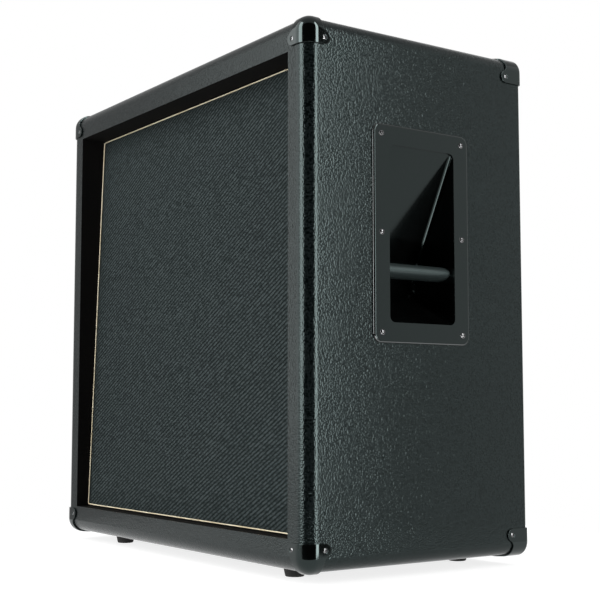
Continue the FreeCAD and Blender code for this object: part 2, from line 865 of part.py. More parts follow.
def driver_frame():
    sheet_gauge = dim.frame_sheet
    ledge, rear = dim.spider_depth, dim.frame_depth
    body = revolved(
        "frame_form",
        [
            (driver_r, flange_front),
            (mouth_r, flange_front),
            (ledge_r, ledge),
            (neck_r - sheet_gauge, ledge),
            (neck_r - sheet_gauge, rear - sheet_gauge),
            (dim.frame_rear_hole / 2, rear - sheet_gauge),
            (dim.frame_rear_hole / 2, rear),
            (neck_r, rear),
            (neck_r, ledge + sheet_gauge),
            (ledge_r + sheet_gauge, ledge + sheet_gauge),
            (mouth_r + sheet_gauge, flange_rear),
            (driver_r, flange_rear),
        ],
    )
    windows = sketch_on(body, "XZ_Plane")
    inner, outer = ledge_r + dim.frame_window_margin, mouth_r - dim.frame_window_margin
    spread = dim.frame_window_half_angle.tan()
    corners = [(r, side * r * spread) for r, side in ((inner, -1), (outer, -1), (outer, 1), (inner, 1))]
    outline(windows, corners)
    window = pocket_through(body, windows)
    pattern_round(body, window, windows, dim.bolts_per_driver)
    return bolt_holes(body)


def surround():
    flat = dim.gasket_thickness
    roll = pleats(cone_r + dim.soft_gap, mouth_r, flat, dim.pleat_height, dim.surround_pleats)
    return bolt_holes(revolved("surround_form", band([(driver_r, flat)] + roll, dim.surround_thickness)))


def cone():
    front = [(cone_r, dim.gasket_thickness), (cone_neck_r, cone_rear)]
    return revolved("cone_form", band(front, dim.cone_thickness))


DOME_STEPS = 6


def dust_cap():
    """A dome by a parabola, its rim just clear of the cone."""
    rim = dim.dust_cap_diameter / 2
    slope = dim.cone_depth / (cone_r - cone_neck_r)
    seat = dim.gasket_thickness + (cone_r - rim) * slope - dim.dust_cap_thickness - dim.seat_gap
    shares = [k / DOME_STEPS for k in range(DOME_STEPS, -1, -1)]
    front = [(rim * share, seat - dim.dust_cap_rise * (1 - share ** 2)) for share in shares]
    return revolved("dust_cap_form", band(front, dim.dust_cap_thickness))


def voice_coil():
    middle = dim.frame_depth + dim.front_plate_thickness / 2
    start, end = middle - dim.winding_length / 2, middle + dim.winding_length / 2
    points = [
        (former_in, cone_rear - dim.soft_gap),
        (former_out, cone_rear - dim.soft_gap),
        (former_out, start),
        (winding_out, start),
        (winding_out, end),
        (former_in, end),
    ]
    return revolved("voice_coil_form", points)


def spider():
    level = dim.spider_depth - dim.spider_thickness
    inner, outer = former_out + dim.soft_gap, neck_r - dim.frame_sheet
    waves = pleats(inner, outer, level, dim.spider_wave_height, dim.spider_waves)
    return revolved("spider_form", band([(ledge_r - dim.frame_sheet, level)] + waves, dim.spider_thickness))


def ring(label, inner, outer, front, rear):
    return revolved(label, [(inner, front), (outer, front), (outer, rear), (inner, rear)])


def yoke():
    vent = dim.pole_vent_diameter / 2
    points = [
        (vent, dim.frame_depth),
        (pole_r, dim.frame_depth),
        (pole_r, magnet_rear),
        (back_plate_r, magnet_rear),
        (back_plate_r, yoke_rear),
        (vent, yoke_rear),
    ]
    return revolved("yoke_form", points)


terminal_face = neck_r + dim.terminal_thickness
terminal_tip = terminal_face + dim.lug_length
terminal_level = (dim.spider_depth + dim.frame_sheet + dim.frame_depth) / 2


def terminal():
    """A small board with two tags, hollowed to sit on the frame's neck, on the -X side."""
    half = dim.terminal_width / 2
    level, face, tip = terminal_level, -terminal_face, -terminal_tip
    low, high = level - dim.terminal_height / 2, level + dim.terminal_height / 2
    board = block("terminal_board", (face, low, -half), (dim.terminal_wrap - neck_r, high, half))
    gauge, lug = dim.lug_thickness / 2, dim.lug_width / 2
    lugs = []
    for number, end in enumerate(SIDES):
        middle = end * half / 2
        lug_low, lug_high = (tip, level - gauge, middle - lug), (face, level + gauge, middle + lug)
        lugs.append(block(f"terminal_lug_{number}", lug_low, lug_high))
    neck = rod_along_y("terminal_neck", (0, 0, 0), 2 * (neck_r + dim.seat_gap), yoke_rear)
    return cut("terminal_form", fuse("terminal_solid", board, *lugs), neck)


STATIC_FORMS = {
    "driver_gaskets": bolt_holes(ring("gasket_form", cutout_r, driver_r, 0, dim.gasket_thickness)),
    "driver_frames": driver_frame(),
    "front_plates": ring("front_plate_form", plate_hole_r, plate_r, dim.frame_depth, plate_rear),
    "magnets": ring("magnet_form", dim.magnet_bore / 2, magnet_r, plate_rear, magnet_rear),
    "yokes": yoke(),
}
DRIVER_FORMS = {
    "cone": cone(),
    "dust_cap": dust_cap(),
    "voice_coil": voice_coil(),
    "spider": spider(),
    "surround": surround(),
}
driver_places = leaning_spots(DRIVER_SPOTS, baffle_rear)
nodes = []
for label, form in STATIC_FORMS.items():
    nodes.append(copies(label, form, driver_places))
for label, form in DRIVER_FORMS.items():
    for number, spot in enumerate(driver_places, start=1):
        nodes.append(group(f"{label}_{number}", [copy_of(form, number, *spot)]))


def terminal_copies():
    """Terminals face the middle of the cabinet, so those of the left drivers are turned about."""
    form = terminal()
    turned = place(group("terminal_turned", [form]), (0, 0, 0), (0, 1, 0), 180)
    items = []
    for number, ((x, z), spot) in enumerate(zip(DRIVER_SPOTS, driver_places), start=1):
        items.append(copy_of(form if x.value > 0 else turned, number, *spot))
    return group("terminals", items)


def mounting_bolt():
    head, shank = dim.bolt_head_diameter / 2, dim.bolt_shank_diameter / 2
    rise, length = dim.bolt_head_height, dim.bolt_length
    points = [(0, -length), (shank, -length), (shank, 0), (head, 0), (head, rise), (0, rise)]
    return revolved("mounting_bolt", points)


def tee_nut():
    """A flanged nut let into the baffle from the front."""
    inner = dim.bolt_shank_diameter / 2 + dim.bolt_clearance
    barrel, flange = dim.tee_barrel_diameter / 2, dim.tee_flange_diameter / 2
    seat = dim.tee_flange_thickness
    end = seat + dim.tee_barrel_length
    points = [(inner, 0), (flange, 0), (flange, seat), (barrel, seat), (barrel, end), (inner, end)]
    return revolved("tee_nut", points)


nodes.append(terminal_copies())
nodes.append(copies("driver_bolts", mounting_bolt(), leaning_spots(BOLT_SPOTS, baffle_rear + flange_rear)))
nodes.append(copies("tee_nuts", tee_nut(), leaning_spots(BOLT_SPOTS, grille_rear)))

# Back panel on its battens, with a post to the baffle in the middle
back_x = inside_x - dim.back_clearance
back_low = inside_low + dim.back_clearance
back_high = inside_high - dim.back_clearance
back_mid = (back_low + back_high) / 2
back_up = (back_high - back_low) / 2
batten = dim.batten_width
dish_hole = dim.dish_mouth_side / 2 + dim.dish_wall + dim.dish_clearance


def back_screw_spots():
    """Screws along the battens, four to a side with the corners shared, and one into the post."""
    edge_x, edge_up = inside_x - batten / 2, (inside_high - inside_low) / 2 - batten / 2
    pitch = dim.back_screw_pitch / 2
    spots = [(end * edge_x, side * edge_up) for side in SIDES for end in SIDES]
    spots += [(end * pitch, side * edge_up) for side in SIDES for end in SIDES]
    spots += [(side * edge_x, end * pitch) for side in SIDES for end in SIDES]
    return spots + [(0, lean_z - back_mid)]


BACK_SCREWS = back_screw_spots()
DISH_SCREWS = [(a * dim.dish_screw_span / 2, b * dim.dish_screw_span / 2) for a in SIDES for b in SIDES]


def back_board():
    body = add("PartDesign::Body", "back_panel")
    sketch = sketch_on(body, "XZ_Plane")
    rectangle(sketch, (-back_x, -back_up), (back_x, back_up))
    pad(body, sketch, dim.back_thickness)
    holes = sketch_on(body, "XZ_Plane")
    middle = dish_z - back_mid
    rectangle(holes, (-dish_hole, middle - dish_hole), (dish_hole, middle + dish_hole))
    for x, z in BACK_SCREWS:
        circle(holes, x, z, screw_drill)
    for x, z in DISH_SCREWS:
        circle(holes, x, middle + z, screw_drill)
    pocket_through(body, holes)
    return place(body, (0, back_face, back_mid))


back_screw = screw_form("back_screw", dim.back_screw_length)
back_drill = drill_form("back_drill", dim.back_screw_length)
back_spots = [((x, back_face, back_mid + z), *FACE_TURNS["rear"]) for x, z in BACK_SCREWS]
back_drills = copies("back_drills", back_drill, back_spots)


def rear_batten(label, low, high):
    front = back_front - dim.batten_depth
    blank = block(f"{label}_blank", (low[0], front, low[1]), (high[0], back_front, high[1]))
    return cut(label, blank, back_drills)


batten_x = inside_x - batten
batten_low, batten_high = inside_low + batten, inside_high - batten
BATTENS = [
    rear_batten("rear_batten_top", (-inside_x, batten_high), (inside_x, inside_high)),
    rear_batten("rear_batten_bottom", (-inside_x, inside_low), (inside_x, batten_low)),
    rear_batten("rear_batten_left", (-inside_x, batten_low), (-batten_x, batten_high)),
    rear_batten("rear_batten_right", (batten_x, batten_low), (inside_x, batten_high)),
]


def brace_post():
    """A post from the baffle to the back panel, its front end cut to the baffle's lean."""
    half = dim.post_side / 2
    blank = block("post_blank", (-half, -wood_y, lean_z - half), (half, back_front, lean_z + half))
    ahead = block("ahead", (-reach, -reach, -reach), (reach, 0, reach))
    lean_ahead = lean_item(group("lean_ahead", [ahead]), y=baffle_rear)
    return cut("centre_post", cut("post_leaning", blank, lean_ahead), back_drills)


nodes += [back_board(), brace_post(), group("rear_battens", BATTENS)]
nodes.append(copies("back_panel_screws", back_screw, back_spots))


# Sunken jack plate and its quarter-inch socket
def turned_to_rear(label, items):
    """Joins forms drawn about the socket's axis, with +Y towards the plug, and sets them on the back."""
    return place(group(label, items), (0, back_face, dish_z))


def jack_pieces():
    """The dish, the socket through its floor, the nut that holds the socket and the dish's screws."""
    plate = dim.dish_plate_thickness
    mouth = dim.dish_mouth_side
    outer = mouth + 2 * dim.dish_wall
    depth = dim.dish_depth
    flange = add("PartDesign::Body", "dish_flange")
    sketch = sketch_on(flange, "XZ_Plane")
    rounded_rectangle(sketch, dim.dish_plate_side, dim.dish_plate_side, dim.dish_plate_corner)
    pad(flange, sketch, plate, reverse=True)
    cup = add("PartDesign::Body", "dish_cup")
    sketch = sketch_on(cup, "XZ_Plane")
    rounded_rectangle(sketch, outer, outer, dim.dish_mouth_corner + dim.dish_wall)
    pad(cup, sketch, depth)
    hollow = add("PartDesign::Body", "dish_hollow")
    sketch = sketch_on(hollow, "XZ_Plane")
    rounded_rectangle(sketch, mouth, mouth, dim.dish_mouth_corner)
    pad(hollow, sketch, 2 * (depth - dim.dish_wall), symmetric=True)
    bush_drill = dim.jack_bush_diameter + 2 * dim.screw_clearance
    bush_hole = rod_along_y("bush_hole", (0, -reach, 0), bush_drill, reach)
    drills = copies("dish_drills", wood_drill, [((x, 0, z),) for x, z in DISH_SCREWS])
    solid = cut("dish_hollowed", fuse("dish_solid", flange, cup), hollow)
    dish_form = cut("dish_form", cut("dish_bushed", solid, bush_hole), drills)

    floor = dim.dish_wall - depth
    body = dim.jack_body_side / 2
    tip = floor + dim.jack_bush_length
    case = block("jack_case", (-body, -depth - dim.jack_body_depth, -body), (body, -depth, body))
    bush = rod_along_y("jack_bush", (0, -depth, 0), dim.jack_bush_diameter, tip + depth)
    bore_depth = dim.jack_bore_depth
    bore = rod_along_y("jack_bore_hole", (0, tip - bore_depth, 0), dim.jack_bore, bore_depth)
    socket_form = cut("socket_form", fuse("socket_solid", case, bush), bore)

    hexagon = bind(add("Part::Prism", "nut_hexagon"), Circumradius=dim.jack_nut_diameter / 2)
    bind(hexagon, Height=dim.jack_nut_thickness)
    place(hexagon, (0, floor, 0), (1, 0, 0), -90)
    nut_hole = rod_along_y("nut_hole", (0, -reach, 0), bush_drill, 2 * reach)
    nut_form = cut("nut_form", hexagon, nut_hole)
    return [
        turned_to_rear("jack_dish", [dish_form]),
        turned_to_rear("jack_socket", [socket_form]),
        turned_to_rear("jack_nut", [nut_form]),
    ]


nodes += jack_pieces()
dish_screw_y = back_face + dim.dish_plate_thickness
dish_screw_spots = [((x, dish_screw_y, dish_z + z), *FACE_TURNS["rear"]) for x, z in DISH_SCREWS]
nodes.append(copies("jack_dish_screws", wood_screw, dish_screw_spots))


# Handles: a face plate, a scooped cup behind it and a grip bar across the cup
def scoop(label, grow, stick_out):
    """The scoop's solid: a sloping back and floor that meet in a round, with rounds along both sides."""
    slope, rise = dim.handle_back_slope, dim.handle_floor_slope
    top = dim.handle_mouth_height / 2 + grow / slope.sin()
    bottom = -dim.handle_mouth_height / 2 - grow / rise.cos()
    depth = (top - bottom) / (1 / slope.tan() + rise.tan())
    apex = bottom + depth * rise.tan()
    body = add("PartDesign::Body", f"{label}_wedge")
    sketch = sketch_on(body, "XZ_Plane")
    points = [(0, top), (-depth, apex), (0, bottom)]
    if stick_out:
        points += [(stick_out, bottom), (stick_out, top)]
    outline(sketch, points)
    width = dim.handle_mouth_width + 2 * grow
    base = pad(body, sketch, width, symmetric=True)
    wedge = round_edges(body, base, dim.handle_apex_radius + grow, lambda box: near(box.XMax, -depth.value))

    def inner_side(box):
        return near(box.YLength, 0) and not near(box.XLength, 0) and (box.XMax < 0 or near(box.XMax, 0))

    round_edges(body, wedge, dim.handle_side_round + grow, inner_side)
    bound = add("PartDesign::Body", f"{label}_bound")
    sketch = sketch_on(bound, "YZ_Plane")
    rounded_rectangle(sketch, width, 2 * top, dim.handle_mouth_corner + grow)
    pad(bound, sketch, 2 * dim.handle_mouth_height, symmetric=True)
    return common(label, body, bound)


def grip_bar():
    """An oval bar from one side of the cup to the other."""
    half = dim.grip_depth / 2
    oval = bind(add("Part::Ellipse", "grip_oval"), MajorRadius=half, MinorRadius=dim.grip_height / 2)
    middle = (-(dim.grip_setback + half), 0, dim.grip_rise - dim.handle_mouth_height / 2)
    place(oval, middle, axis=(1, 0, 0), angle=90)
    bar = add("Part::Extrusion", "grip_bar")
    bar.Base = oval
    bar.DirMode = "Normal"
    bar.Solid = True
    bar.Symmetric = True
    return bind(bar, LengthFwd=dim.handle_mouth_width + dim.handle_wall)


def handle_plate():
    body = add("PartDesign::Body", "handle_plate")
    sketch = sketch_on(body, "YZ_Plane")
    rounded_rectangle(sketch, dim.handle_plate_width, dim.handle_plate_height, dim.handle_plate_corner)
    base = pad(body, sketch, dim.handle_plate_thickness)
    face = dim.handle_plate_thickness.value
    round_edges(body, base, dim.handle_plate_edge, lambda box: near(box.XMin, face))
    return body


def handles():
    """The moulded handle, once for each side; the left one is turned half round."""
    hollow = scoop("scoop_hollow", Size.of(0), dim.handle_plate_thickness + dim.drill_overrun)
    cup = scoop("scoop_cup", dim.handle_wall, None)
    shell = cut("handle_shell", fuse("handle_solid", handle_plate(), cup), hollow)
    form = fuse("handle_form", shell, grip_bar())
    made = []
    for node, side, angle in (("handle_right", 1, 0), ("handle_left", -1, 180)):
        blank = place(group(f"{node}_blank", [form]), (side * half_width, 0, handle_z), (0, 0, 1), angle)
        made.append(cut(node, blank, outside_drills))
    return made


nodes += handles()


# Feet, tapered rubber with a sunken screw
def foot():
    """A foot about its own Y axis, from the floor up."""
    low, high = dim.foot_bottom_diameter / 2, dim.foot_top_diameter / 2
    recess = dim.foot_recess_diameter / 2
    bore = dim.screw_shank_diameter / 2 + dim.screw_clearance
    points = [
        (recess, 0),
        (low, 0),
        (high, dim.foot_height),
        (bore, dim.foot_height),
        (bore, dim.foot_recess_depth),
        (recess, dim.foot_recess_depth),
    ]
    return revolved("foot_form", points)


nodes.append(copies("rubber_feet", foot(), [((x, y, 0), (1, 0, 0), 90) for x, y in FOOT_SPOTS]))

doc.recompute()


# Corner caps: a shell over the rounded corner, with an ear for each screw
def eared_outline(leg, post):
    """A corner piece in two lengths from the corner, with an ear that flares out of its long side."""
    ear, flare, inset = dim.cap_ear_radius.value, dim.cap_flare_radius.value, dim.cap_screw_inset.value
    start = -dim.cap_leg.value
    ear_centre = Vector(inset, inset, 0)

    def flare_side(reach_out):
        """The flare's start on the side, its middle and its end on the ear."""
        across = reach_out + flare
        fall = math.sqrt((flare + ear) ** 2 - (across - inset) ** 2)
        centre = Vector(across, inset - fall, 0)
        end = ear_centre + (centre - ear_centre) * (ear / (ear + flare))
        first = Vector(reach_out, inset - fall, 0)
        chord = (first + end) * 0.5 - centre
        return first, centre + chord * (flare / chord.Length), end

    def swapped(point):
        return Vector(point.y, point.x, 0)

    first, middle, end = flare_side(leg)
    edges = [
        Part.LineSegment(Vector(start, start, 0), Vector(leg, start, 0)),
        Part.LineSegment(Vector(leg, start, 0), first),
        Part.Arc(first, middle, end),
    ]
    outward = ear_centre + Vector(1, 1, 0) * (ear / math.sqrt(2))
    if post > inset:
        foot_of_ear = Vector(inset, inset + ear, 0)
        edges.append(Part.Arc(end, outward, foot_of_ear))
        edges.append(Part.LineSegment(foot_of_ear, Vector(start, inset + ear, 0)))
        last = Vector(start, inset + ear, 0)
    else:
        far_first, far_middle, far_end = (swapped(point) for point in flare_side(post))
        edges.append(Part.Arc(end, outward, far_end))
        edges.append(Part.Arc(far_end, far_middle, far_first))
        edges.append(Part.LineSegment(far_first, Vector(start, post, 0)))
        last = Vector(start, post, 0)
    edges.append(Part.LineSegment(last, Vector(start, start, 0)))
    return Part.Face(Part.Wire([edge.toShape() for edge in edges]))


def cap_region():
    """The corner's outlines on its three faces, at the origin, the box lying towards +X, +Y and +Z."""
    leg, post = dim.cap_leg.value, dim.cap_post.value
    upright = eared_outline(leg, post)
    level = eared_outline(leg, leg)
    front = upright.copy()
    front.rotate(Vector(), Vector(1, 0, 0), 90)
    side = upright.copy()
    side.rotate(Vector(), Vector(1, 0, 0), 90)
    side = side.mirror(Vector(), Vector(1, -1, 0))
    depth = dim.cap_leg.value
    prisms = []
    for face, way in ((front, Vector(0, 1, 0)), (side, Vector(1, 0, 0)), (level, Vector(0, 0, 1))):
        low = face.copy()
        low.translate(way * -depth)
        prisms.append(low.extrude(way * (2 * depth)))
    return prisms[0].multiFuse(prisms[1:])


AXES = (Vector(1, 0, 0), Vector(0, 1, 0), Vector(0, 0, 1))


def corner_caps(label, end):
    """Four caps at the front or the rear; the rear ones keep clear of the back panel."""
    shell = cap_outer_form.Shape.cut(cap_inner_form.Shape)
    region = cap_region()
    lip = dim.cap_rear_lip.value
    keep_out = Part.makeBox(
        dim.cabinet_width.value - 2 * lip,
        dim.cabinet_depth.value,
        dim.cabinet_height.value - 2 * lip,
        Vector(lip - half_width.value, 0, box_bottom.value + lip),
    )
    solids = []
    for side in SIDES:
        for level, height in ((-1, box_bottom), (1, box_top)):
            corner = region.copy()
            for way, normal in zip((side, end, level), AXES):
                corner = corner.mirror(Vector(), normal) if way > 0 else corner
            corner.translate(Vector(side * half_width.value, end * half_depth.value, height.value))
            cap = shell.common(corner)
            cap = cap.cut(keep_out) if end > 0 else cap
            solids += cap.cut(outside_drills.Shape).Solids
    item = add("Part::Feature", label)
    item.Shape = Part.Compound(solids)
    return item


nodes += [corner_caps("front_corner_caps", -1), corner_caps("rear_corner_caps", 1)]

# Inside wiring: a twin lead from the socket to the tags of each driver. A route's points are shares
# of the way across, back to front and up or down between its two ends.
LOWER_ROUTE = [
    (0.0, 0.1, 0.0), (0.1, 0.24, 0.37), (0.29, 0.39, 0.8), (0.51, 0.54, 1.11),
    (0.65, 0.7, 1.24), (0.75, 0.84, 1.24), (0.85, 0.96, 1.08),
]
UPPER_ROUTE = [
    (0.0, 0.11, 0.0), (0.13, 0.22, 0.067), (0.32, 0.31, 0.17), (0.46, 0.38, 0.28), (0.55, 0.45, 0.39),
    (0.59, 0.535, 0.5), (0.62, 0.63, 0.61), (0.65, 0.73, 0.72), (0.69, 0.84, 0.82), (0.77, 0.92, 0.91),
    (0.87, 0.975, 0.977),
]
ARC_SHARE = 0.45


def lead_path(points):
    """Straight runs joined by tangent arcs, each as large as its two runs allow."""
    edges, radii = [], []
    here = points[0]
    for before, corner, after in zip(points, points[1:], points[2:]):
        back, ahead = before - corner, after - corner
        turn = math.pi - back.getAngle(ahead)
        trim = ARC_SHARE * min(back.Length, ahead.Length)
        radius = trim / math.tan(turn / 2)
        start = corner + back * (trim / back.Length)
        end = corner + ahead * (trim / ahead.Length)
        inward = (back / back.Length + ahead / ahead.Length).normalize()
        middle = corner + inward * (radius / math.cos(turn / 2) - radius)
        edges += [Part.LineSegment(here, start), Part.Arc(start, middle, end)]
        radii.append(radius)
        here = end
    edges.append(Part.LineSegment(here, points[-1]))
    return Part.Wire([edge.toShape() for edge in edges]), radii


def lead_points(start, end, route):
    """The points of a lead between two ends given as sizes."""
    ends = [[Size.of(size).value for size in spot] for spot in (start, end)]
    shares = [(0, 0, 0), *route, (1, 1, 1)]
    return [Vector(*(a + share * (b - a) for share, a, b in zip(spot, *ends))) for spot in shares]


def speaker_leads():
    """Four leads as one group, the left pair a mirror of the right pair."""
    radius = dim.lead_diameter.value / 2
    socket_rear = back_face - dim.dish_depth - dim.jack_body_depth
    solids = []
    for side in SIDES:
        for level, route in ((-1, LOWER_ROUTE), (1, UPPER_ROUTE)):
            start = (side * dim.lead_spread, socket_rear - dim.lead_gap, dish_z + level * dim.lead_spread)
            across = side * (driver_step - terminal_tip - dim.lead_gap)
            end = leaning(across, baffle_rear + terminal_level, level * driver_step)
            points = lead_points(start, end, route)
            path, radii = lead_path(points)
            section = Part.Wire([Part.Circle(points[0], points[1] - points[0], radius).toShape()])
            tube = path.makePipeShell([section], True, False)
            share = tube.Volume / (math.pi * radius ** 2 * path.Length)
            print(f"lead: bends from {min(radii):.1f} mm, length {path.Length:.1f} mm, volume {share:.4f}")
            solids += tube.Solids
    item = add("Part::Feature", "speaker_leads")
    item.Shape = Part.Compound(solids)
    return item


nodes.append(speaker_leads())

SUBPARTS = [
    top_panel, bottom_panel, left_panel, right_panel, *LINING, vinyl_covering,
    grille_cloth, grille_frame, grille_piping, baffle, baffle_screws,
    corner_screws, handle_screws, foot_screws, *nodes,
]


def write_parts():
    """Checks every object, then writes each sub-part under its own name."""
    doc.recompute()
    for item in doc.Objects:
        if "Invalid" in item.State or "Error" in item.State:
            raise RuntimeError(f"{item.Label} did not rebuild: {item.State}")
    for item in SUBPARTS:
        if item.Shape.isNull() or not item.Shape.isValid() or not item.Shape.Solids:
            raise RuntimeError(f"{item.Label} has no sound shape")
    os.makedirs("parts", exist_ok=True)
    for item in SUBPARTS:
        item.Shape.exportStep(f"parts/{item.Label}.step")


write_parts()
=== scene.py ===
import json
import math

import bmesh
import bpy
from mathutils import Matrix, Vector


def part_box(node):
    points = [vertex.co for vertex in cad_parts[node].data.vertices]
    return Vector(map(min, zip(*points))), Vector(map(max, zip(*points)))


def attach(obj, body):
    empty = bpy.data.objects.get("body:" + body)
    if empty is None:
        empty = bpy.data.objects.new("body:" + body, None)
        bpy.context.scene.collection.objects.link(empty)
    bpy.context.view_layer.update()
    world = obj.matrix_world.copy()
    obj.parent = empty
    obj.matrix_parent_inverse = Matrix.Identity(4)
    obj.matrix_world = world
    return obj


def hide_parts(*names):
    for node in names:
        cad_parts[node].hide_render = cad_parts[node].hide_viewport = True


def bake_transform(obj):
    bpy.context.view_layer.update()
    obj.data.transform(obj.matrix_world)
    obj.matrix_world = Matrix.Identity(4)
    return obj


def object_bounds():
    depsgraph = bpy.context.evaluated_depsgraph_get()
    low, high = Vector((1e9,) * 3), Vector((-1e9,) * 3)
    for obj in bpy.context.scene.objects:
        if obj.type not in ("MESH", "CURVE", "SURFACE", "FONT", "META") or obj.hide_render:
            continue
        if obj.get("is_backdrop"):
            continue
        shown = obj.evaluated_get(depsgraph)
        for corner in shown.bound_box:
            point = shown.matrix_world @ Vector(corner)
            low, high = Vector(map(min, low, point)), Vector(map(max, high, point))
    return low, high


# The looks of a guitar speaker cabinet: grained black vinyl, a leaning cloth grille with cream piping,
# moulded caps and handles, plated screws. Lengths are in metres. The grille faces -Y and Z is up.

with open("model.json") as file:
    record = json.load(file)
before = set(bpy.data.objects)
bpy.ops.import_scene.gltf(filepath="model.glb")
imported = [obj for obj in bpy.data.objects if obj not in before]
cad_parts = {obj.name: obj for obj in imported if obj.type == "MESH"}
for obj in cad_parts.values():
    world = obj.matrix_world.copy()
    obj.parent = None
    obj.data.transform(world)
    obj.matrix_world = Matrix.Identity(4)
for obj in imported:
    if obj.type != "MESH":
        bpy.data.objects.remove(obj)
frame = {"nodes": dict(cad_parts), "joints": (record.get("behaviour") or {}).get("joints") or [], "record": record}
cad_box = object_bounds()

MM = 0.001
MERGE_GAP = 0.002 * MM
SMOOTH_ANGLE = math.radians(32)
FLAT_ANGLE = math.radians(0.4)
EDGE_STEPS = 3

slot_of = {part["node"]: part["material_slot"] for part in frame["record"]["subparts"]}
body_of = {node: body for body, nodes in frame["record"]["behaviour"]["bodies"].items() for node in nodes}


# Shader maths and node making
class Signal:
    """A socket of a node tree, written in sums as a number is."""

    def __init__(self, tree, socket):
        self.tree = tree
        self.socket = socket

    def math(self, operation, *terms):
        sockets = dict(enumerate(terms))
        return make_node(self.tree, "ShaderNodeMath", {"operation": operation}, sockets)["Value"]

    def __add__(self, other):
        return self.math("ADD", self, other)

    def __radd__(self, other):
        return self.math("ADD", other, self)

    def __sub__(self, other):
        return self.math("SUBTRACT", self, other)

    def __rsub__(self, other):
        return self.math("SUBTRACT", other, self)

    def __mul__(self, other):
        return self.math("MULTIPLY", self, other)

    def __rmul__(self, other):
        return self.math("MULTIPLY", other, self)

    def __truediv__(self, other):
        return self.math("DIVIDE", self, other)

    def __rtruediv__(self, other):
        return self.math("DIVIDE", other, self)

    def __neg__(self):
        return self.math("MULTIPLY", self, -1.0)

    def sine(self):
        return self.math("SINE", self)

    def size(self):
        return self.math("ABSOLUTE", self)

    def whole(self):
        return self.math("FLOOR", self)

    def part(self):
        return self.math("FRACT", self)

    def above(self, level):
        return self.math("GREATER_THAN", self, level)

    def larger(self, other):
        return self.math("MAXIMUM", self, other)

    def eased(self, low, high):
        """0 below the low level, 1 above the high one, smooth between."""
        levels = {"Value": self, "From Min": low, "From Max": high}
        ease = make_node(self.tree, "ShaderNodeMapRange", {"interpolation_type": "SMOOTHSTEP"}, levels)
        return ease["Result"]


def make_node(tree, kind, settings=None, sockets=None):
    """Adds a node: its settings first, then the values or links of its sockets. Gives its outputs.

    A socket that takes several links has a list of them. The outputs are kept by identifier.
    """
    node = tree.nodes.new(kind)
    for name, value in (settings or {}).items():
        setattr(node, name, value)
    entries = {entry.name: entry for entry in reversed(node.inputs)}
    entries.update({entry.identifier: entry for entry in node.inputs})
    for name, given in (sockets or {}).items():
        entry = node.inputs[name] if isinstance(name, int) else entries[name]
        for source in given if isinstance(given, list) else [given]:
            if isinstance(source, Signal):
                tree.links.new(source.socket, entry)
            else:
                entry.default_value = source
    return {out.identifier: Signal(tree, out) for out in node.outputs}


class Finish:
    """A material, with the patterns that feed its shader."""

    def __init__(self, name):
        self.material = bpy.data.materials.new(name)
        self.material.use_nodes = True
        self.tree = self.material.node_tree
        self.tree.nodes.clear()

    def node(self, kind, settings=None, sockets=None):
        return make_node(self.tree, f"ShaderNode{kind}", settings, sockets)

    def place(self, stretch=(1, 1, 1), source="Object"):
        spot = self.node("TexCoord")[source]
        return self.node("Mapping", None, {"Vector": spot, "Scale": stretch})["Vector"]

    def axes(self, spot):
        parts = self.node("SeparateXYZ", None, {"Vector": spot})
        return parts["X"], parts["Y"], parts["Z"]

    def noise(self, spot, pitch, detail, rough=0.55):
        sizes = {"Vector": spot, "Scale": 1 / pitch, "Detail": detail, "Roughness": rough}
        return self.node("TexNoise", {"noise_dimensions": "3D"}, sizes)["Fac"]

    def cells(self, spot, pitch, scatter=1.0):
        """How far a spot is from the middle of its cell."""
        sizes = {"Vector": spot, "Scale": 1 / pitch, "Randomness": scatter}
        return self.node("TexVoronoi", {"feature": "F1"}, sizes)["Distance"]

    def tinted(self, share, base, colour):
        """A colour signal drawn towards one more colour."""
        colours = {"Factor_Float": share, "A_Color": base, "B_Color": (*colour, 1)}
        return self.node("Mix", {"data_type": "RGBA"}, colours)["Result_Color"]

    def blend(self, share, first, second):
        return self.tinted(share, (*first, 1), second)

    def relief(self, height, depth, strength):
        """The surface normal of a height that runs from 0 to 1."""
        sockets = {"Height": height, "Distance": depth, "Strength": strength}
        return self.node("Bump", None, sockets)["Normal"]

    def done(self, sockets):
        shader = self.node("BsdfPrincipled", None, sockets)["BSDF"]
        self.node("OutputMaterial", None, {"Surface": shader})
        return self.material


# Finishes
COOL_SHEEN = (0.78, 1.0, 0.98, 1)
VINYL_GRAIN = 2.3 * MM
VINYL_DEPTH = 0.15 * MM
CLOTH_WARP = 2.7 * MM
CLOTH_WEFT = 1.5 * MM
TWILL_REPEAT = 4
TWILL_UNDER = 0.45


def grained_vinyl():
    """Black leathercloth: small pebbles, with shade painted into the furrows between them."""
    vinyl = Finish("grained_vinyl")
    spot = vinyl.place()
    off_middle = vinyl.cells(spot, VINYL_GRAIN, scatter=0.9)
    pebble = 1 - off_middle * off_middle * 2
    crease = vinyl.noise(spot, 1.2 * MM, 2.0)
    wear = vinyl.noise(spot, 140 * MM, 3.0)
    height = pebble * 0.8 + crease * 0.2
    # Pebble tops lighter and furrows darker in colour: painted shade, varied by the wear noise.
    furrow_shade_and_wear = pebble.eased(0.0, 0.9) * (0.55 + 0.45 * wear)
    return vinyl.done({
        "Base Color": vinyl.blend(furrow_shade_and_wear, (0.0002, 0.0006, 0.0006), (0.007, 0.0095, 0.0098)),
        "Roughness": 0.13 - pebble * 0.04 + wear * 0.03,
        "Specular IOR Level": 0.275,
        "Specular Tint": COOL_SHEEN,
        "Normal": vinyl.relief(height, VINYL_DEPTH, 1.0),
    })


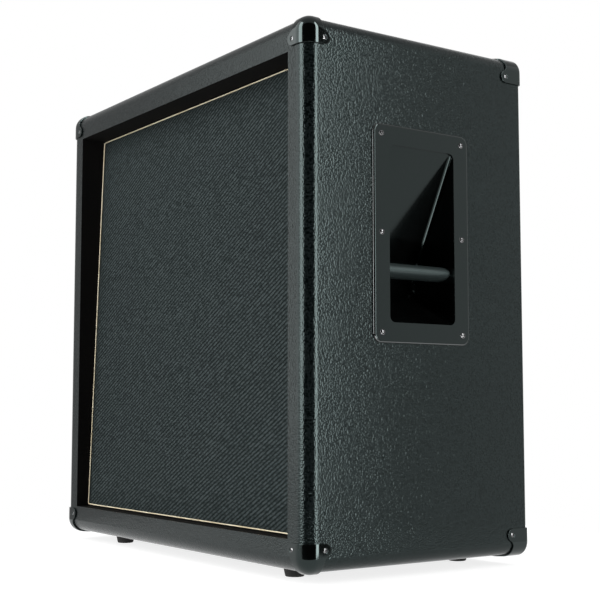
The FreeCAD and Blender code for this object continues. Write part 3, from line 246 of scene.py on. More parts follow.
def twill_cloth():
    """Black grille cloth, woven two over and two under, so its ribs climb to the right, with paler flecks."""
    cloth = Finish("twill_cloth")
    across, up, _ = cloth.axes(cloth.place(source="UV"))
    pull = cloth.noise(cloth.place(), 11 * MM, 2.0) - 0.5
    warp, weft = across / CLOTH_WARP + pull * 0.5, up / CLOTH_WEFT + pull * 0.7
    step = (warp.whole() - weft.whole()) / TWILL_REPEAT
    over = step.part().above(TWILL_UNDER)
    warp_round = (warp.part() * math.pi).sine()
    weft_round = (weft.part() * math.pi).sine()
    rib = ((warp - weft) / TWILL_REPEAT).part()
    rib_round = (rib * math.pi).sine()
    thread = over * warp_round + (1 - over) * weft_round * 0.7
    fuzz = cloth.noise(cloth.place(), 0.6 * MM, 2.0)
    shade = cloth.noise(cloth.place(), 9 * MM, 2.0)
    fleck = cloth.noise(cloth.place((0.5, 1, 1)), 2.8 * MM, 2.0).eased(0.4, 0.62)
    # The grooves between ribs and threads are painted darker: painted shade. The flecks and the noise named shade
    # are random tone of the cloth.
    rise = 0.12 + 0.88 * rib_round.eased(0.2, 1.0)
    light = rise * (0.2 + 0.9 * thread) * (0.15 + 0.35 * shade + 0.4 * fuzz + 0.85 * fleck)
    return cloth.done({
        "Base Color": cloth.blend(light, (0.001, 0.002, 0.002), (0.040, 0.050, 0.051)),
        "Roughness": 0.86 - thread * 0.12 + fuzz * 0.1,
        "Specular IOR Level": 0.1,
        "Specular Tint": COOL_SHEEN,
        "Normal": cloth.relief(rib_round * 0.6 + thread * 0.3 + fuzz * 0.1, 0.5 * MM, 0.8),
    })


def cream_piping():
    """Cream cord under a clear skin, a little browner where it has aged."""
    cord = Finish("cream_piping")
    spot = cord.place()
    age = cord.noise(spot, 35 * MM, 3.0)
    across, _, up = cord.axes(spot)
    twist = ((across + up) / (1.6 * MM)).part()
    strand = (twist * math.pi).sine()
    tone = cord.blend(age.eased(0.3, 0.75), (0.72, 0.66, 0.50), (0.55, 0.47, 0.31))
    return cord.done({
        # Darker brown in the grooves between the twisted strands: painted shade.
        "Base Color": cord.tinted((1 - strand) * 0.35, tone, (0.36, 0.26, 0.13)),
        "Roughness": 0.36 + age * 0.15,
        "Normal": cord.relief(strand, 0.12 * MM, 0.5),
    })


def black_lining():
    """Dull black paint on the strips round the grille, thin enough to show the wood's pores."""
    paint = Finish("black_lining")
    pores = paint.noise(paint.place((1, 8, 1)), 5 * MM, 4.0)
    dust = paint.noise(paint.place(), 60 * MM, 2.0)
    return paint.done({
        "Base Color": paint.blend(dust * pores, (0.002, 0.002, 0.002), (0.007, 0.006, 0.005)),
        "Roughness": 0.72 + pores * 0.15,
        "Specular IOR Level": 0.1,
        "Normal": paint.relief(pores, 0.08 * MM, 0.4),
    })


def gloss_cap():
    """Polished black moulding with faint flow lines and hairline rubs."""
    cap = Finish("gloss_cap")
    spot = cap.place()
    flow = cap.noise(spot, 26 * MM, 2.0)
    rub = cap.noise(cap.place((1, 1, 14)), 2.4 * MM, 3.0)
    return cap.done({
        "Base Color": cap.blend(flow, (0.0004, 0.0004, 0.0004), (0.0010, 0.0012, 0.0012)),
        "Roughness": 0.07 + rub.eased(0.55, 0.8) * 0.10 + flow * 0.04,
        "Specular IOR Level": 0.42,
        "Specular Tint": COOL_SHEEN,
        "Normal": cap.relief(flow, 0.12 * MM, 0.25),
    })


# Levels that bound the grip and the plate's rounded rim, from the middle of the cabinet and from the floor
GRIP_LOW = 0.3765
GRIP_HIGH = 0.3985
GRIP_HALF_LENGTH = 0.054
GRIP_BACK = 0.285
GRIP_FRONT = 0.335
RIM_LOW = 0.3363
RIM_HIGH = 0.3391


def satin_handle():
    """Moulded black plastic with a fine spark texture, duller on the grip and polished on the plate's rim."""
    plastic = Finish("satin_handle")
    spot = plastic.place()
    across, along, up = plastic.axes(spot)
    outward = across.size()
    grip_height = up.above(GRIP_LOW) * (1 - up.above(GRIP_HIGH))
    grip_depth = outward.above(GRIP_BACK) * (1 - outward.above(GRIP_FRONT))
    painted_lit_grip = grip_height * grip_depth * (1 - along.size().above(GRIP_HALF_LENGTH))
    rim = outward.above(RIM_LOW) * (1 - outward.above(RIM_HIGH))
    spark = plastic.noise(spot, 0.7 * MM, 2.0)
    flow = plastic.noise(spot, 40 * MM, 2.0)
    bare = plastic.blend(flow, (0.0004, 0.0004, 0.0004), (0.0012, 0.0014, 0.0014))
    return plastic.done({
        # The grip is painted lighter than the rest of the same plastic: painted light. It is also rougher.
        "Base Color": plastic.tinted(painted_lit_grip, bare, (0.022, 0.029, 0.029)),
        "Roughness": 0.09 + spark * 0.06 + painted_lit_grip * 0.2,
        "Specular IOR Level": 0.37,
        "Specular Tint": COOL_SHEEN,
        "Coat Weight": rim,
        "Coat IOR": 1.7,
        "Coat Roughness": 0.04,
        "Normal": plastic.relief(spark, 0.01 * MM, 0.3),
    })


def foot_rubber():
    """Dull rubber, scuffed pale where it meets the floor."""
    rubber = Finish("foot_rubber")
    spot = rubber.place()
    _, _, up = rubber.axes(spot)
    mottle = rubber.noise(spot, 3 * MM, 4.0)
    scuff = (1 - up.eased(0, 4 * MM)) * mottle.eased(0.4, 0.7)
    return rubber.done({
        "Base Color": rubber.blend(scuff, (0.012, 0.012, 0.012), (0.05, 0.048, 0.045)),
        "Roughness": 0.62 + mottle * 0.2,
        "Specular IOR Level": 0.35,
        "Normal": rubber.relief(mottle, 0.12 * MM, 0.5),
    })


def plated_steel():
    """Zinc-plated screws with a faint bloom and fine turning marks."""
    steel = Finish("plated_steel")
    spot = steel.place()
    bloom = steel.noise(spot, 2.2 * MM, 3.0)
    turned = steel.noise(steel.place((6, 6, 6)), 1.5 * MM, 2.0)
    return steel.done({
        "Base Color": steel.blend(bloom, (0.52, 0.53, 0.53), (0.68, 0.69, 0.68)),
        "Metallic": 1.0,
        "Roughness": 0.14 + turned * 0.12,
        "Normal": steel.relief(turned, 0.01 * MM, 0.3),
    })


def blackened_steel():
    """Black-plated screws of the caps and handles, rubbed brighter on a few spots."""
    steel = Finish("blackened_steel")
    spot = steel.place()
    rub = steel.noise(spot, 1.8 * MM, 3.0)
    turned = steel.noise(spot, 0.4 * MM, 2.0)
    return steel.done({
        "Base Color": steel.blend(rub.eased(0.4, 0.7), (0.09, 0.09, 0.093), (0.30, 0.30, 0.30)),
        "Metallic": 1.0,
        "Roughness": 0.07 + turned * 0.10,
        "Normal": steel.relief(turned, 0.01 * MM, 0.3),
    })


def painted_back():
    """The back board under a rolled coat of black paint."""
    paint = Finish("painted_back")
    spot = paint.place()
    stipple = paint.noise(spot, 1.8 * MM, 3.0)
    grain = paint.noise(paint.place((9, 1, 0.35)), 6 * MM, 4.0)
    rub = paint.noise(spot, 160 * MM, 4.0)
    return paint.done({
        "Base Color": paint.blend(rub * 0.7 + grain * 0.3, (0.009, 0.010, 0.010), (0.026, 0.028, 0.028)),
        "Roughness": 0.48 + stipple * 0.2,
        "Normal": paint.relief(stipple * 0.6 + grain * 0.4, 0.16 * MM, 0.6),
    })


PAINTED_FROM = 0.16
PLY_THICKNESS = 1.5 * MM


def birch_board():
    """Birch plywood, with grain along the board and darker glue lines, painted black round the back."""
    wood = Finish("birch_board")
    grain = wood.noise(wood.place((1, 1, 0.06)), 5 * MM, 5.0)
    cloud = wood.noise(wood.place((0.5, 1, 0.5)), 90 * MM, 3.0)
    _, deep, _ = wood.axes(wood.place())
    glue = ((deep / PLY_THICKNESS).part() * math.pi).sine().eased(0.0, 0.25)
    tone = wood.blend(grain * 0.6 + cloud * 0.4, (0.66, 0.47, 0.27), (0.45, 0.29, 0.15))
    bare = wood.tinted((1 - glue) * 0.25, tone, (0.20, 0.12, 0.06))
    return wood.done({
        "Base Color": wood.tinted(deep.above(PAINTED_FROM), bare, (0.012, 0.012, 0.012)),
        "Roughness": 0.6 + grain * 0.2,
        "Normal": wood.relief(grain, 0.1 * MM, 0.4),
    })


def painted_frame():
    """Black stove paint on a driver's pressed frame."""
    paint = Finish("painted_frame")
    peel = paint.noise(paint.place(), 1.4 * MM, 2.0)
    return paint.done({
        "Base Color": paint.blend(peel, (0.012, 0.012, 0.013), (0.024, 0.024, 0.026)),
        "Roughness": 0.34 + peel * 0.16,
        "Normal": paint.relief(peel, 0.05 * MM, 0.4),
    })


def zinc_plate():
    """Passivated steel plates and pole, with a faint yellow bloom."""
    zinc = Finish("zinc_plate")
    bloom = zinc.noise(zinc.place(), 18 * MM, 4.0)
    return zinc.done({
        "Base Color": zinc.blend(bloom, (0.62, 0.60, 0.50), (0.50, 0.52, 0.52)),
        "Metallic": 1.0,
        "Roughness": 0.32 + bloom * 0.18,
    })


def ferrite():
    """A ground ceramic ring magnet."""
    ceramic = Finish("ferrite")
    speck = ceramic.noise(ceramic.place(), 0.8 * MM, 3.0)
    return ceramic.done({
        "Base Color": ceramic.blend(speck, (0.03, 0.03, 0.033), (0.085, 0.085, 0.09)),
        "Roughness": 0.55 + speck * 0.2,
        "Normal": ceramic.relief(speck, 0.05 * MM, 0.5),
    })


def cork_gasket():
    """A pressed ring of bound cork, dyed dark."""
    cork = Finish("cork_gasket")
    crumb = cork.cells(cork.place(), 2.2 * MM)
    return cork.done({
        "Base Color": cork.blend(crumb, (0.085, 0.06, 0.04), (0.03, 0.022, 0.016)),
        "Roughness": 0.8 + crumb * 0.15,
        "Normal": cork.relief(crumb, 0.2 * MM, 0.5),
    })


def pressed_paper():
    """Felted cone paper, with fibres and faint clouds."""
    paper = Finish("pressed_paper")
    fibre = paper.noise(paper.place(), 2.0 * MM, 5.0, rough=0.7)
    cloud = paper.noise(paper.place(), 30 * MM, 3.0)
    return paper.done({
        "Base Color": paper.blend(fibre * 0.6 + cloud * 0.4, (0.022, 0.020, 0.019), (0.085, 0.078, 0.070)),
        "Roughness": 0.8 + fibre * 0.15,
        "Normal": paper.relief(fibre, 0.15 * MM, 0.6),
    })


def felt_dome():
    """The dust cap's pressed felt."""
    felt = Finish("felt_dome")
    fibre = felt.noise(felt.place(), 1.2 * MM, 5.0, rough=0.75)
    return felt.done({
        "Base Color": felt.blend(fibre, (0.018, 0.018, 0.019), (0.075, 0.074, 0.072)),
        "Roughness": 0.85 + fibre * 0.12,
        "Sheen Weight": 0.2,
        "Normal": felt.relief(fibre, 0.2 * MM, 0.6),
    })


def stiffened_cloth():
    """A spider's cotton cloth, stiff with amber resin."""
    cloth = Finish("stiffened_cloth")
    across, _, up = cloth.axes(cloth.place())
    weave = (across * (math.pi / MM)).sine() * (up * (math.pi / MM)).sine()
    resin = cloth.noise(cloth.place(), 14 * MM, 3.0)
    return cloth.done({
        "Base Color": cloth.blend(resin * 0.7 + weave * 0.15, (0.62, 0.43, 0.15), (0.38, 0.23, 0.06)),
        "Roughness": 0.6 + resin * 0.2,
        "Normal": cloth.relief(weave, 0.1 * MM, 0.4),
    })


def wound_copper():
    """Enamelled copper wire on the coil, turn beside turn."""
    copper = Finish("wound_copper")
    _, deep, _ = copper.axes(copper.place())
    turn = ((deep / (0.35 * MM)).part() * math.pi).sine()
    return copper.done({
        # Darker copper between the turns of wire: painted shade.
        "Base Color": copper.blend(turn, (0.36, 0.14, 0.05), (0.80, 0.42, 0.22)),
        "Metallic": 1.0,
        "Roughness": 0.42 - turn * 0.14,
        "Normal": copper.relief(turn, 0.06 * MM, 0.6),
    })


def brown_board():
    """Resin-bonded paper of the tag boards."""
    board = Finish("brown_board")
    fleck = board.noise(board.place((1, 1, 0.3)), 2.5 * MM, 4.0)
    return board.done({
        "Base Color": board.blend(fleck, (0.30, 0.15, 0.06), (0.42, 0.24, 0.11)),
        "Roughness": 0.42 + fleck * 0.2,
    })


def lead_sleeve():
    """Soft black sleeving on the inside leads."""
    sleeve = Finish("lead_sleeve")
    mottle = sleeve.noise(sleeve.place(), 1.6 * MM, 3.0)
    return sleeve.done({
        "Base Color": sleeve.blend(mottle, (0.014, 0.014, 0.015), (0.032, 0.032, 0.033)),
        "Roughness": 0.45 + mottle * 0.2,
        "Normal": sleeve.relief(mottle, 0.05 * MM, 0.4),
    })


def powder_dish():
    """Fine black powder coat on the jack's dish."""
    coat = Finish("powder_dish")
    peel = coat.cells(coat.place(), 0.9 * MM)
    return coat.done({
        "Base Color": coat.blend(peel, (0.020, 0.021, 0.021), (0.009, 0.009, 0.009)),
        "Roughness": 0.40 + peel * 0.2,
        "Normal": coat.relief(peel, 0.06 * MM, 0.5),
    })


def jack_body():
    """The socket's dull black plastic."""
    plastic = Finish("jack_body")
    mottle = plastic.noise(plastic.place(), 2 * MM, 2.0)
    return plastic.done({
        "Base Color": plastic.blend(mottle, (0.012, 0.012, 0.012), (0.022, 0.022, 0.022)),
        "Roughness": 0.4 + mottle * 0.15,
    })


def bright_nut():
    """Nickel on the jack's nut, with turning marks round its axis."""
    nickel = Finish("bright_nut")
    mark = nickel.noise(nickel.place((8, 1, 8)), 1.2 * MM, 2.0)
    return nickel.done({
        "Base Color": nickel.blend(mark, (0.74, 0.72, 0.68), (0.82, 0.80, 0.77)),
        "Metallic": 1.0,
        "Roughness": 0.12 + mark * 0.12,
    })


FINISHES = {
    "board": birch_board(),
    "lining": black_lining(),
    "back_board": painted_back(),
    "covering": grained_vinyl(),
    "grille_cloth": twill_cloth(),
    "piping": cream_piping(),
    "cap_plastic": gloss_cap(),
    "handle_plastic": satin_handle(),
    "foot_rubber": foot_rubber(),
    "screw_steel": plated_steel(),
    "black_screw": blackened_steel(),
    "driver_frame": painted_frame(),
    "magnet_steel": zinc_plate(),
    "magnet": ferrite(),
    "gasket": cork_gasket(),
    "cone_paper": pressed_paper(),
    "dust_cap": felt_dome(),
    "spider": stiffened_cloth(),
    "coil": wound_copper(),
    "terminal": brown_board(),
    "lead": lead_sleeve(),
    "dish_metal": powder_dish(),
    "jack_plastic": jack_body(),
    "jack_nut": bright_nut(),
}


# Making pieces
def link_piece(name, mesh):
    piece = bpy.data.objects.new(name, mesh)
    bpy.context.scene.collection.objects.link(piece)
    return piece


def baked_mesh(piece):
    """The piece's mesh with its modifiers worked in."""
    ready = piece.evaluated_get(bpy.context.evaluated_depsgraph_get())
    return bpy.data.meshes.new_from_object(ready)


DRIVER_AXIS = Vector(frame["joints"][0]["axis"])
DRIVERS = range(1, 5)
CONE_OF_RING = {f"{ring}_{k}": f"driver_{k}_cone" for ring in ("surround", "spider") for k in DRIVERS}


def flex(ring, node):
    """Lays each point of a driver's ring at its distance from the ring's middle, bakes the ring's place into its
    mesh, then puts the points back.
    """
    low, high = (Vector(corner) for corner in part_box(node))
    points = ring.data.vertices
    places = [point.co.copy() for point in points]
    for point in points:
        aside = point.co - (low + high) / 2
        point.co = ((aside - DRIVER_AXIS * aside.dot(DRIVER_AXIS)).length, 0, 0)
    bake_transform(ring)
    for point, place in zip(points, places):
        point.co = place


def fit(piece, node):
    """Puts a finished piece in the place of a node."""
    piece.data.materials.clear()
    piece.data.materials.append(FINISHES[slot_of[node]])
    if node in CONE_OF_RING:
        flex(piece, node)
    else:
        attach(piece, body_of[node])
    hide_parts(node)
    return piece


def merged_form(node):
    """A node's triangles joined at their corners, with flat areas made whole."""
    form = bmesh.new()
    form.from_mesh(frame["nodes"][node].data)
    bmesh.ops.remove_doubles(form, verts=form.verts, dist=MERGE_GAP)
    bmesh.ops.dissolve_limit(form, angle_limit=FLAT_ANGLE, verts=form.verts, edges=form.edges)
    return form


def smooth_piece(node, soft_edge=0.0, sharp_spots=()):
    """A node with smooth rounds and softened edges. Edges near the sharp spots stay as they are."""
    form = merged_form(node)
    weights = form.edges.layers.float.new("bevel_weight_edge")
    for edge in form.edges:
        middle = (edge.verts[0].co + edge.verts[1].co) / 2
        clear = all((middle - spot).length > reach for spot, reach in sharp_spots)
        turn = edge.calc_face_angle(0.0)
        edge[weights] = 1.0 if clear and turn > SMOOTH_ANGLE else 0.0
        edge.smooth = turn < SMOOTH_ANGLE
    mesh = bpy.data.meshes.new(f"{node}_finished")
    form.to_mesh(mesh)
    form.free()
    mesh.polygons.foreach_set("use_smooth", [True] * len(mesh.polygons))
    piece = link_piece(f"{node}_finished", mesh)
    if soft_edge:
        edge_round = piece.modifiers.new("soft_edge", "BEVEL")
        edge_round.limit_method = "WEIGHT"
        edge_round.width = soft_edge
        edge_round.segments = EDGE_STEPS
    even = piece.modifiers.new("even_shading", "WEIGHTED_NORMAL")
    even.keep_sharp = not soft_edge
    piece.data = baked_mesh(piece)
    piece.modifiers.clear()
    fit(piece, node)


# Screws
HEAD_RIM = 0.9


class Fastener:
    """Where a screw of a node sits: the middle of its head's outside, and the way its head faces."""

    def __init__(self, corners):
        low = Vector(min(c[k] for c in corners) for k in range(3))
        high = Vector(max(c[k] for c in corners) for k in range(3))
        middle = (low + high) / 2
        sides = high - low
        along = max(range(3), key=lambda k: sides[k])
        across = [k for k in range(3) if k != along]
        rim = HEAD_RIM * max(sides[k] for k in across) / 2
        on_head = [c for c in corners if math.hypot(*(c[k] - middle[k] for k in across)) > rim]
        lean = sum(c[along] - middle[along] for c in on_head)
        self.facing = Vector()
        self.facing[along] = math.copysign(1, lean)
        self.tip = middle + self.facing * sides[along] / 2


def fasteners(node):
    """The separate screws of a node, in the order of their places, so that each run is the same."""
    form = merged_form(node)
    left = set(form.verts)
    found = []
    while left:
        screw, waiting = set(), [left.pop()]
        while waiting:
            vert = waiting.pop()
            screw.add(vert)
            near = {edge.other_vert(vert) for edge in vert.link_edges} & left
            left -= near
            waiting.extend(near)
        found.append(Fastener([vert.co.copy() for vert in screw]))
    form.free()
    return sorted(found, key=lambda screw: tuple(screw.tip))


HEAD_SIDES = 24
HEAD_RINGS = 14
SHANK_SIDES = 14
# Shares of the head's radius, the slot's depth, and the shank's length and radius
CROSS_SPAN = 1.15
CROSSBAR_DEEPER = 1.06
ROD_SHARE = 0.75
POINT_SHARE = 0.27
POINT_WIDTH = 0.97
SCREW_SIZES = ("Head Radius", "Head Rise", "Slot Width", "Slot Depth", "Shank Radius", "Shank Length")


def cross_head_tree():
    """Cross-head screws on points: a domed head cut by a cross, on a pointed shank."""
    tree = bpy.data.node_groups.new("cross_head_screws", "GeometryNodeTree")
    tree.interface.new_socket("Spots", in_out="INPUT", socket_type="NodeSocketGeometry")
    for name in SCREW_SIZES:
        tree.interface.new_socket(name, in_out="INPUT", socket_type="NodeSocketFloat")
    tree.interface.new_socket("Seed", in_out="INPUT", socket_type="NodeSocketInt")
    tree.interface.new_socket("Finish", in_out="INPUT", socket_type="NodeSocketMaterial")
    tree.interface.new_socket("Screws", in_out="OUTPUT", socket_type="NodeSocketGeometry")

    def node(kind, settings=None, sockets=None):
        return make_node(tree, kind, settings, sockets)

    def vector(x, y, z):
        return node("ShaderNodeCombineXYZ", None, {"X": x, "Y": y, "Z": z})["Vector"]

    def moved(shape, spot, turn=(0, 0, 0), scale=(1, 1, 1)):
        sockets = {"Geometry": shape, "Translation": spot, "Rotation": turn, "Scale": scale}
        return node("GeometryNodeTransform", None, sockets)["Geometry"]

    entry = node("NodeGroupInput")
    inputs = [item for item in tree.interface.items_tree if item.in_out == "INPUT"]
    size = {item.name: entry[item.identifier] for item in inputs}
    radius, rise = size["Head Radius"], size["Head Rise"]
    ball_sizes = {"Segments": HEAD_SIDES, "Rings": HEAD_RINGS, "Radius": radius}
    ball = node("GeometryNodeMeshUVSphere", None, ball_sizes)["Mesh"]
    dome = moved(ball, vector(0, 0, -rise), scale=vector(1, 1, rise / radius))
    bar_size = vector(radius * CROSS_SPAN, size["Slot Width"], size["Slot Depth"] * 2)
    bar = node("GeometryNodeMeshCube", None, {"Size": bar_size})["Mesh"]
    crossbar = moved(bar, (0, 0, 0), turn=(0, 0, math.pi / 2), scale=(1, 1, CROSSBAR_DEEPER))
    sockets = {"Mesh 1": dome, "Mesh 2": [bar, crossbar]}
    head = node("GeometryNodeMeshBoolean", {"operation": "DIFFERENCE"}, sockets)["Mesh"]
    shank, depth = size["Shank Radius"], size["Shank Length"]
    rod_sizes = {"Vertices": SHANK_SIDES, "Radius": shank, "Depth": depth * ROD_SHARE}
    cylinder = node("GeometryNodeMeshCylinder", None, rod_sizes)["Mesh"]
    rod = moved(cylinder, vector(0, 0, -rise - depth * (ROD_SHARE / 2)))
    point_sizes = {
        "Vertices": SHANK_SIDES,
        "Radius Top": 0.0,
        "Radius Bottom": shank * POINT_WIDTH,
        "Depth": depth * POINT_SHARE,
    }
    cone = node("GeometryNodeMeshCone", None, point_sizes)["Mesh"]
    point = moved(cone, vector(0, 0, -rise - depth * (1 - POINT_SHARE)), turn=(math.pi, 0, 0))
    screw = node("GeometryNodeJoinGeometry", None, {"Geometry": [point, rod, head]})["Geometry"]
    attribute = {"data_type": "FLOAT_VECTOR"}
    facing = node("GeometryNodeInputNamedAttribute", attribute, {"Name": "facing"})["Attribute"]
    aligned = node("FunctionNodeAlignRotationToVector", {"axis": "Z"}, {"Vector": facing})["Rotation"]
    turns = {"Min_001": 0.0, "Max_001": math.pi / 2, "Seed": size["Seed"]}
    spin = node("FunctionNodeRandomValue", {"data_type": "FLOAT"}, turns)["Value_001"]
    sockets = {"Rotation": aligned, "Rotate By": vector(0, 0, spin)}
    rotation = node("FunctionNodeRotateRotation", {"rotation_space": "LOCAL"}, sockets)["Rotation"]
    sockets = {"Points": size["Spots"], "Instance": screw, "Rotation": rotation}
    placed = node("GeometryNodeInstanceOnPoints", None, sockets)["Instances"]
    solid = node("GeometryNodeRealizeInstances", None, {"Geometry": placed})["Geometry"]
    sockets = {"Geometry": solid, "Material": size["Finish"]}
    finished = node("GeometryNodeSetMaterial", None, sockets)["Geometry"]
    node("NodeGroupOutput", None, {"Screws": finished})
    return tree


CROSS_HEADS = cross_head_tree()


def screw_set(node, sizes, seed):
    """Cross-head screws in the places of a node's screws."""
    spots = fasteners(node)
    mesh = bpy.data.meshes.new(f"{node}_finished")
    mesh.from_pydata([screw.tip for screw in spots], [], [])
    facing = mesh.attributes.new("facing", "FLOAT_VECTOR", "POINT")
    facing.data.foreach_set("vector", [part for screw in spots for part in screw.facing])
    piece = link_piece(f"{node}_finished", mesh)
    maker = piece.modifiers.new("screws", "NODES")
    maker.node_group = CROSS_HEADS
    values = {**sizes, "Seed": seed, "Finish": FINISHES[slot_of[node]]}
    for item in CROSS_HEADS.interface.items_tree:
        if item.in_out == "INPUT" and item.name in values:
            maker[item.identifier] = values[item.name]
    ready = baked_mesh(piece)
    piece.modifiers.clear()
    piece.data = ready
    ready.shade_smooth()
    ready.set_sharp_from_angle(angle=SMOOTH_ANGLE)
    fit(piece, node)


SLOT_WIDTH_SHARE = 0.26
SLOT_DEPTH_SHARE = 0.8


def screw_values(radius, rise, shank, length):
    """The sizes of a set of screws, given in millimetres, by the names of the tree's inputs."""
    values = (radius, rise, radius * SLOT_WIDTH_SHARE, rise * SLOT_DEPTH_SHARE, shank, length)
    return {name: value * MM for name, value in zip(SCREW_SIZES, values)}


SCREW_SETS = {
    "corner_screws": screw_values(3.3, 1.3, 1.75, 14),
    "handle_screws": screw_values(4.0, 2.6, 1.75, 13),
    "back_panel_screws": screw_values(4.0, 2.6, 1.75, 29),
    "jack_dish_screws": screw_values(4.0, 2.6, 1.75, 13),
    "foot_screws": screw_values(4.0, 2.6, 1.75, 13),
}
for number, (node, sizes) in enumerate(SCREW_SETS.items()):
    screw_set(node, sizes, number)


# Grille cloth
CLOTH_STEPS = 64
CLOTH_ROLL = 0.8 * MM


def grille_sheet():
    """The stretched cloth, rolled over the edge of its frame all round."""
    out = DRIVER_AXIS
    across = Vector((1, 0, 0))
    up = out.cross(across)
    corners = [vert.co for vert in frame["nodes"]["grille_cloth"].data.vertices]
    face = max(corner.dot(out) for corner in corners)
    low = [min(corner.dot(axis) for corner in corners) for axis in (across, up)]
    high = [max(corner.dot(axis) for corner in corners) for axis in (across, up)]
    form = bmesh.new()
    uv = form.loops.layers.uv.new("weave")
    rows = []
    for j in range(CLOTH_STEPS + 1):
        row = []
        for i in range(CLOTH_STEPS + 1):
            spots = [a + (b - a) * k / CLOTH_STEPS for a, b, k in zip(low, high, (i, j))]
            rim = i in (0, CLOTH_STEPS) or j in (0, CLOTH_STEPS)
            level = face - (CLOTH_ROLL if rim else 0)
            row.append(form.verts.new(across * spots[0] + up * spots[1] + out * level))
        rows.append(row)
    for j in range(CLOTH_STEPS):
        for i in range(CLOTH_STEPS):
            quad = form.faces.new((rows[j][i], rows[j][i + 1], rows[j + 1][i + 1], rows[j + 1][i]))
            for loop in quad.loops:
                loop[uv].uv = (loop.vert.co.dot(across), loop.vert.co.dot(up))
            quad.smooth = True
    bmesh.ops.recalc_face_normals(form, faces=form.faces)
    mesh = bpy.data.meshes.new("grille_cloth_finished")
    form.to_mesh(mesh)
    form.free()
    sheet = fit(link_piece("grille_cloth_finished", mesh), "grille_cloth")
    high[0] - low[0]
    high[1] - low[1]


grille_sheet()

# Pieces that keep their solid's shape
SOFT_EDGES = {
    "back_panel": 0.8 * MM,
    "front_corner_caps": 0.5 * MM,
    "rear_corner_caps": 0.5 * MM,
    "handle_right": 1.6 * MM,
    "handle_left": 1.6 * MM,
    "rubber_feet": 1.0 * MM,
    "jack_dish": 0.6 * MM,
    "jack_nut": 0.4 * MM,
}
BOARDS = {
    "top_panel", "bottom_panel", "left_panel", "right_panel", "front_lining_top", "front_lining_bottom",
    "front_lining_left", "front_lining_right", "grille_frame", "baffle", "centre_post", "rear_battens",
}
HOLE_REACH = 7 * MM
screw_spots = [(screw.tip, HOLE_REACH) for node in SCREW_SETS for screw in fasteners(node)]

for node, slot in slot_of.items():
    if node in BOARDS:
        cad = frame["nodes"][node]
        cad.data.materials.clear()
        cad.data.materials.append(FINISHES[slot])
    elif node not in SCREW_SETS and node != "grille_cloth":
        smooth_piece(node, SOFT_EDGES.get(node, 0.0), screw_spots if node in SOFT_EDGES else ())


# Studio: a white table and surround, soft boxes, and plain sheets that only the gloss shows
CAMERA_SPOT = Vector((1.5059, -1.0101, 0.2115))
CAMERA_TURN = math.radians(54.97)
CAMERA_RISE = math.radians(5.12)
CAMERA_LENS = 72.31
NEAR_EDGE = Vector((0.318, -0.164, 0))
BOX_DISTANCE = 2.4
BOX_HIGH = 4.2
BOX_LEAN = math.radians(8)
RIGHT_LEAN = math.radians(3)
LOW_LAMP = Vector((1.75, -0.75, -0.75))
HANDLE_MIDDLE = Vector((0.3, 0, 0.45))


def compass(turn, distance, height):
    """A spot round the cabinet: a turn of 0 is straight in front, a right angle is on its right."""
    return Vector((math.sin(turn) * distance, -math.cos(turn) * distance, height))


def studio_camera():
    lens = bpy.data.cameras.new("camera")
    lens.lens = CAMERA_LENS
    camera = bpy.data.objects.new("camera", lens)
    bpy.context.scene.collection.objects.link(camera)
    level = math.cos(CAMERA_RISE)
    look = Vector((-math.sin(CAMERA_TURN) * level, math.cos(CAMERA_TURN) * level, math.sin(CAMERA_RISE)))
    camera.matrix_world = Matrix.Translation(CAMERA_SPOT) @ look.to_track_quat("-Z", "Y").to_matrix().to_4x4()
    bpy.context.scene.camera = camera


def lamp(name, spot, aim, width, height, lean, level):
    """A flat lamp as bright as its level, where 1 is white, with its top leaning to one side."""
    light = bpy.data.lights.new(name, "AREA")
    light.shape = "RECTANGLE"
    light.size, light.size_y = width, height
    light.energy = level * math.pi * width * height
    box = bpy.data.objects.new(name, light)
    bpy.context.scene.collection.objects.link(box)
    facing = (aim - spot).to_track_quat("-Z", "Y").to_matrix().to_4x4()
    box.matrix_world = Matrix.Translation(spot) @ facing @ Matrix.Rotation(lean, 4, "Z")
    box.visible_camera = False


def soft_box(name, start, end, low, lean, level):
    """A tall lamp that fills the turns from start to end, as the near edge of the cabinet sees it."""
    turn = math.radians((start + end) / 2)
    width = 2 * BOX_DISTANCE * math.tan(math.radians(end - start) / 2)
    spot = NEAR_EDGE + compass(turn, BOX_DISTANCE, (low + BOX_HIGH) / 2)
    lamp(name, spot, NEAR_EDGE + Vector((0, 0, spot.z)), width, BOX_HIGH - low, lean, level)


SURROUND_FILL = 0.35


def seen_rays(tree):
    """1 for the rays that show the surround: seen straight, in a gloss or through a clear piece."""
    rays = make_node(tree, "ShaderNodeLightPath")
    return rays["Is Camera Ray"].larger(rays["Is Glossy Ray"]).larger(rays["Is Transmission Ray"])


def surround_level(tree):
    """The brightness of the surround, 1 where it is seen and less where it only lights."""
    return SURROUND_FILL + seen_rays(tree) * (1 - SURROUND_FILL)


def white_surround():
    world = bpy.data.worlds.new("surround")
    bpy.context.scene.world = world
    world.use_nodes = True
    tree = world.node_tree
    tree.nodes.clear()
    sockets = {"Color": (1, 1, 1, 1), "Strength": surround_level(tree)}
    light = make_node(tree, "ShaderNodeBackground", None, sockets)["Background"]
    make_node(tree, "ShaderNodeOutputWorld", None, {"Surface": light})


FLOOR_RADIUS = 0.6
FLOOR_FRONT = 0.53
FLOOR_CORNERS = 96
FLOOR_GREY = 0.9
FLOOR_GLOW = 1.3
SHADOW_NEAR = 0.36
SHADOW_FAR = 0.55
GLOW_IN_SHADOW = 0.62


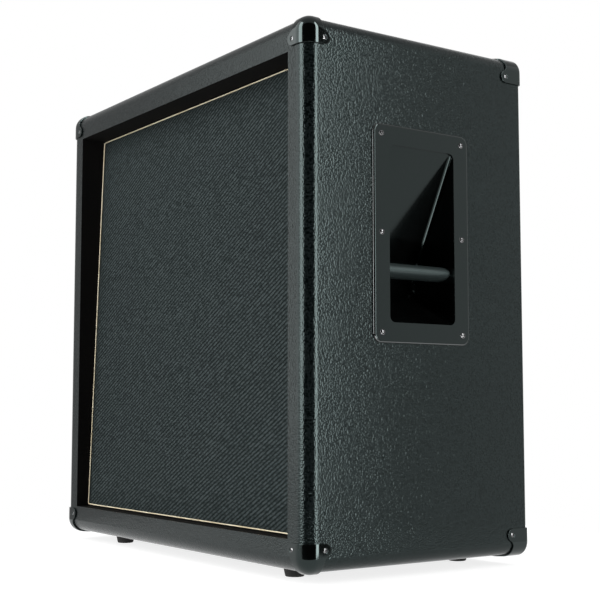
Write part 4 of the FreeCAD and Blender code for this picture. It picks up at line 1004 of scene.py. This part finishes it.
def white_floor():
    """A pale table, short of the camera, that reads as white and keeps a soft shadow round the cabinet."""
    start = math.acos(FLOOR_FRONT / FLOOR_RADIUS)
    sweep = 2 * (math.pi - start) / (FLOOR_CORNERS - 1)
    turns = [CAMERA_TURN + start + sweep * k for k in range(FLOOR_CORNERS)]
    mesh = bpy.data.meshes.new("floor")
    mesh.from_pydata([compass(turn, FLOOR_RADIUS, 0) for turn in turns], [], [range(FLOOR_CORNERS)])
    floor = link_piece("floor", mesh)
    paper = Finish("floor_paper")
    spot = paper.place()
    distance = paper.node("VectorMath", {"operation": "LENGTH"}, {0: spot})["Value"]
    plain = GLOW_IN_SHADOW + distance.eased(SHADOW_NEAR, SHADOW_FAR) * (1 - GLOW_IN_SHADOW)
    shaded = paper.node("BsdfDiffuse", None, {"Color": (FLOOR_GREY, FLOOR_GREY, FLOOR_GREY, 1)})["BSDF"]
    glow = paper.node("Emission", None, {"Color": (1, 1, 1, 1), "Strength": FLOOR_GLOW})["Emission"]
    share = seen_rays(paper.tree) * plain
    mixed = paper.node("MixShader", None, {"Fac": share, 1: shaded, 2: glow})["Shader"]
    paper.node("OutputMaterial", None, {"Surface": mixed})
    mesh.materials.append(paper.material)
    floor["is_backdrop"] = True


DRAPE_DISTANCE = 3.0
DRAPE_WIDTH = 6.4
DRAPE_LOW = -1.6
DRAPE_HIGH = 4.4
DRAPE_GREY = 0.01
CEILING_SIDE = 9.6
CEILING_HEIGHT = 5.2
CEILING_GREY = 0.55


def backdrop(name, corners, grey):
    """A plain sheet that the camera doesn't see but the gloss does."""
    mesh = bpy.data.meshes.new(name)
    mesh.from_pydata(corners, [], [(0, 1, 2, 3)])
    sheet = link_piece(name, mesh)
    sheet.visible_camera = False
    paint = Finish(name)
    sockets = {"Color": (grey, grey, grey, 1), "Strength": surround_level(paint.tree)}
    paint.node("OutputMaterial", None, {"Surface": paint.node("Emission", None, sockets)["Emission"]})
    mesh.materials.append(paint.material)
    sheet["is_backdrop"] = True


def dark_drape():
    """Black cloth behind the camera, which gives the rounded edges their dark stripe."""
    middle = compass(CAMERA_TURN, DRAPE_DISTANCE, 0)
    side = Vector((math.cos(CAMERA_TURN), math.sin(CAMERA_TURN), 0)) * DRAPE_WIDTH / 2
    low, high = Vector((0, 0, DRAPE_LOW)), Vector((0, 0, DRAPE_HIGH))
    left, right = middle - side, middle + side
    backdrop("drape", [left + low, right + low, right + high, left + high], DRAPE_GREY)


def wall_sheet(name, start, end, distance, grey):
    """An upright sheet that fills the turns from start to end, as the near edge of the cabinet sees it."""
    first, last = math.radians(start), math.radians(end)
    spots = ((first, DRAPE_LOW), (last, DRAPE_LOW), (last, DRAPE_HIGH), (first, DRAPE_HIGH))
    backdrop(name, [NEAR_EDGE + compass(turn, distance, height) for turn, height in spots], grey)


def grey_ceiling():
    half = CEILING_SIDE / 2
    spots = ((-half, -half), (-half, half), (half, half), (half, -half))
    backdrop("ceiling", [Vector((x, y, CEILING_HEIGHT)) for x, y in spots], CEILING_GREY)


studio_camera()
soft_box("left_box", start=-22, end=4, low=-0.1, lean=BOX_LEAN, level=8.5)
soft_box("left_wall", start=-58, end=-22, low=-0.1, lean=0, level=1.6)
soft_box("right_box", start=103.5, end=120.8, low=-0.35, lean=-RIGHT_LEAN, level=13.0)
lamp("low_box", LOW_LAMP, HANDLE_MIDDLE, width=1.0, height=0.7, lean=0, level=6.0)
white_surround()
white_floor()
dark_drape()
wall_sheet("box_side", start=120.6, end=127.3, distance=BOX_DISTANCE, grey=DRAPE_GREY)
wall_sheet("left_sheet", start=-115, end=-58, distance=DRAPE_DISTANCE, grey=0.5)
grey_ceiling()
bpy.context.scene.view_settings.view_transform = "Standard"

sizes = {"cad": [list(corner) for corner in cad_box], "visual": [list(corner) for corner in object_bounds()]}
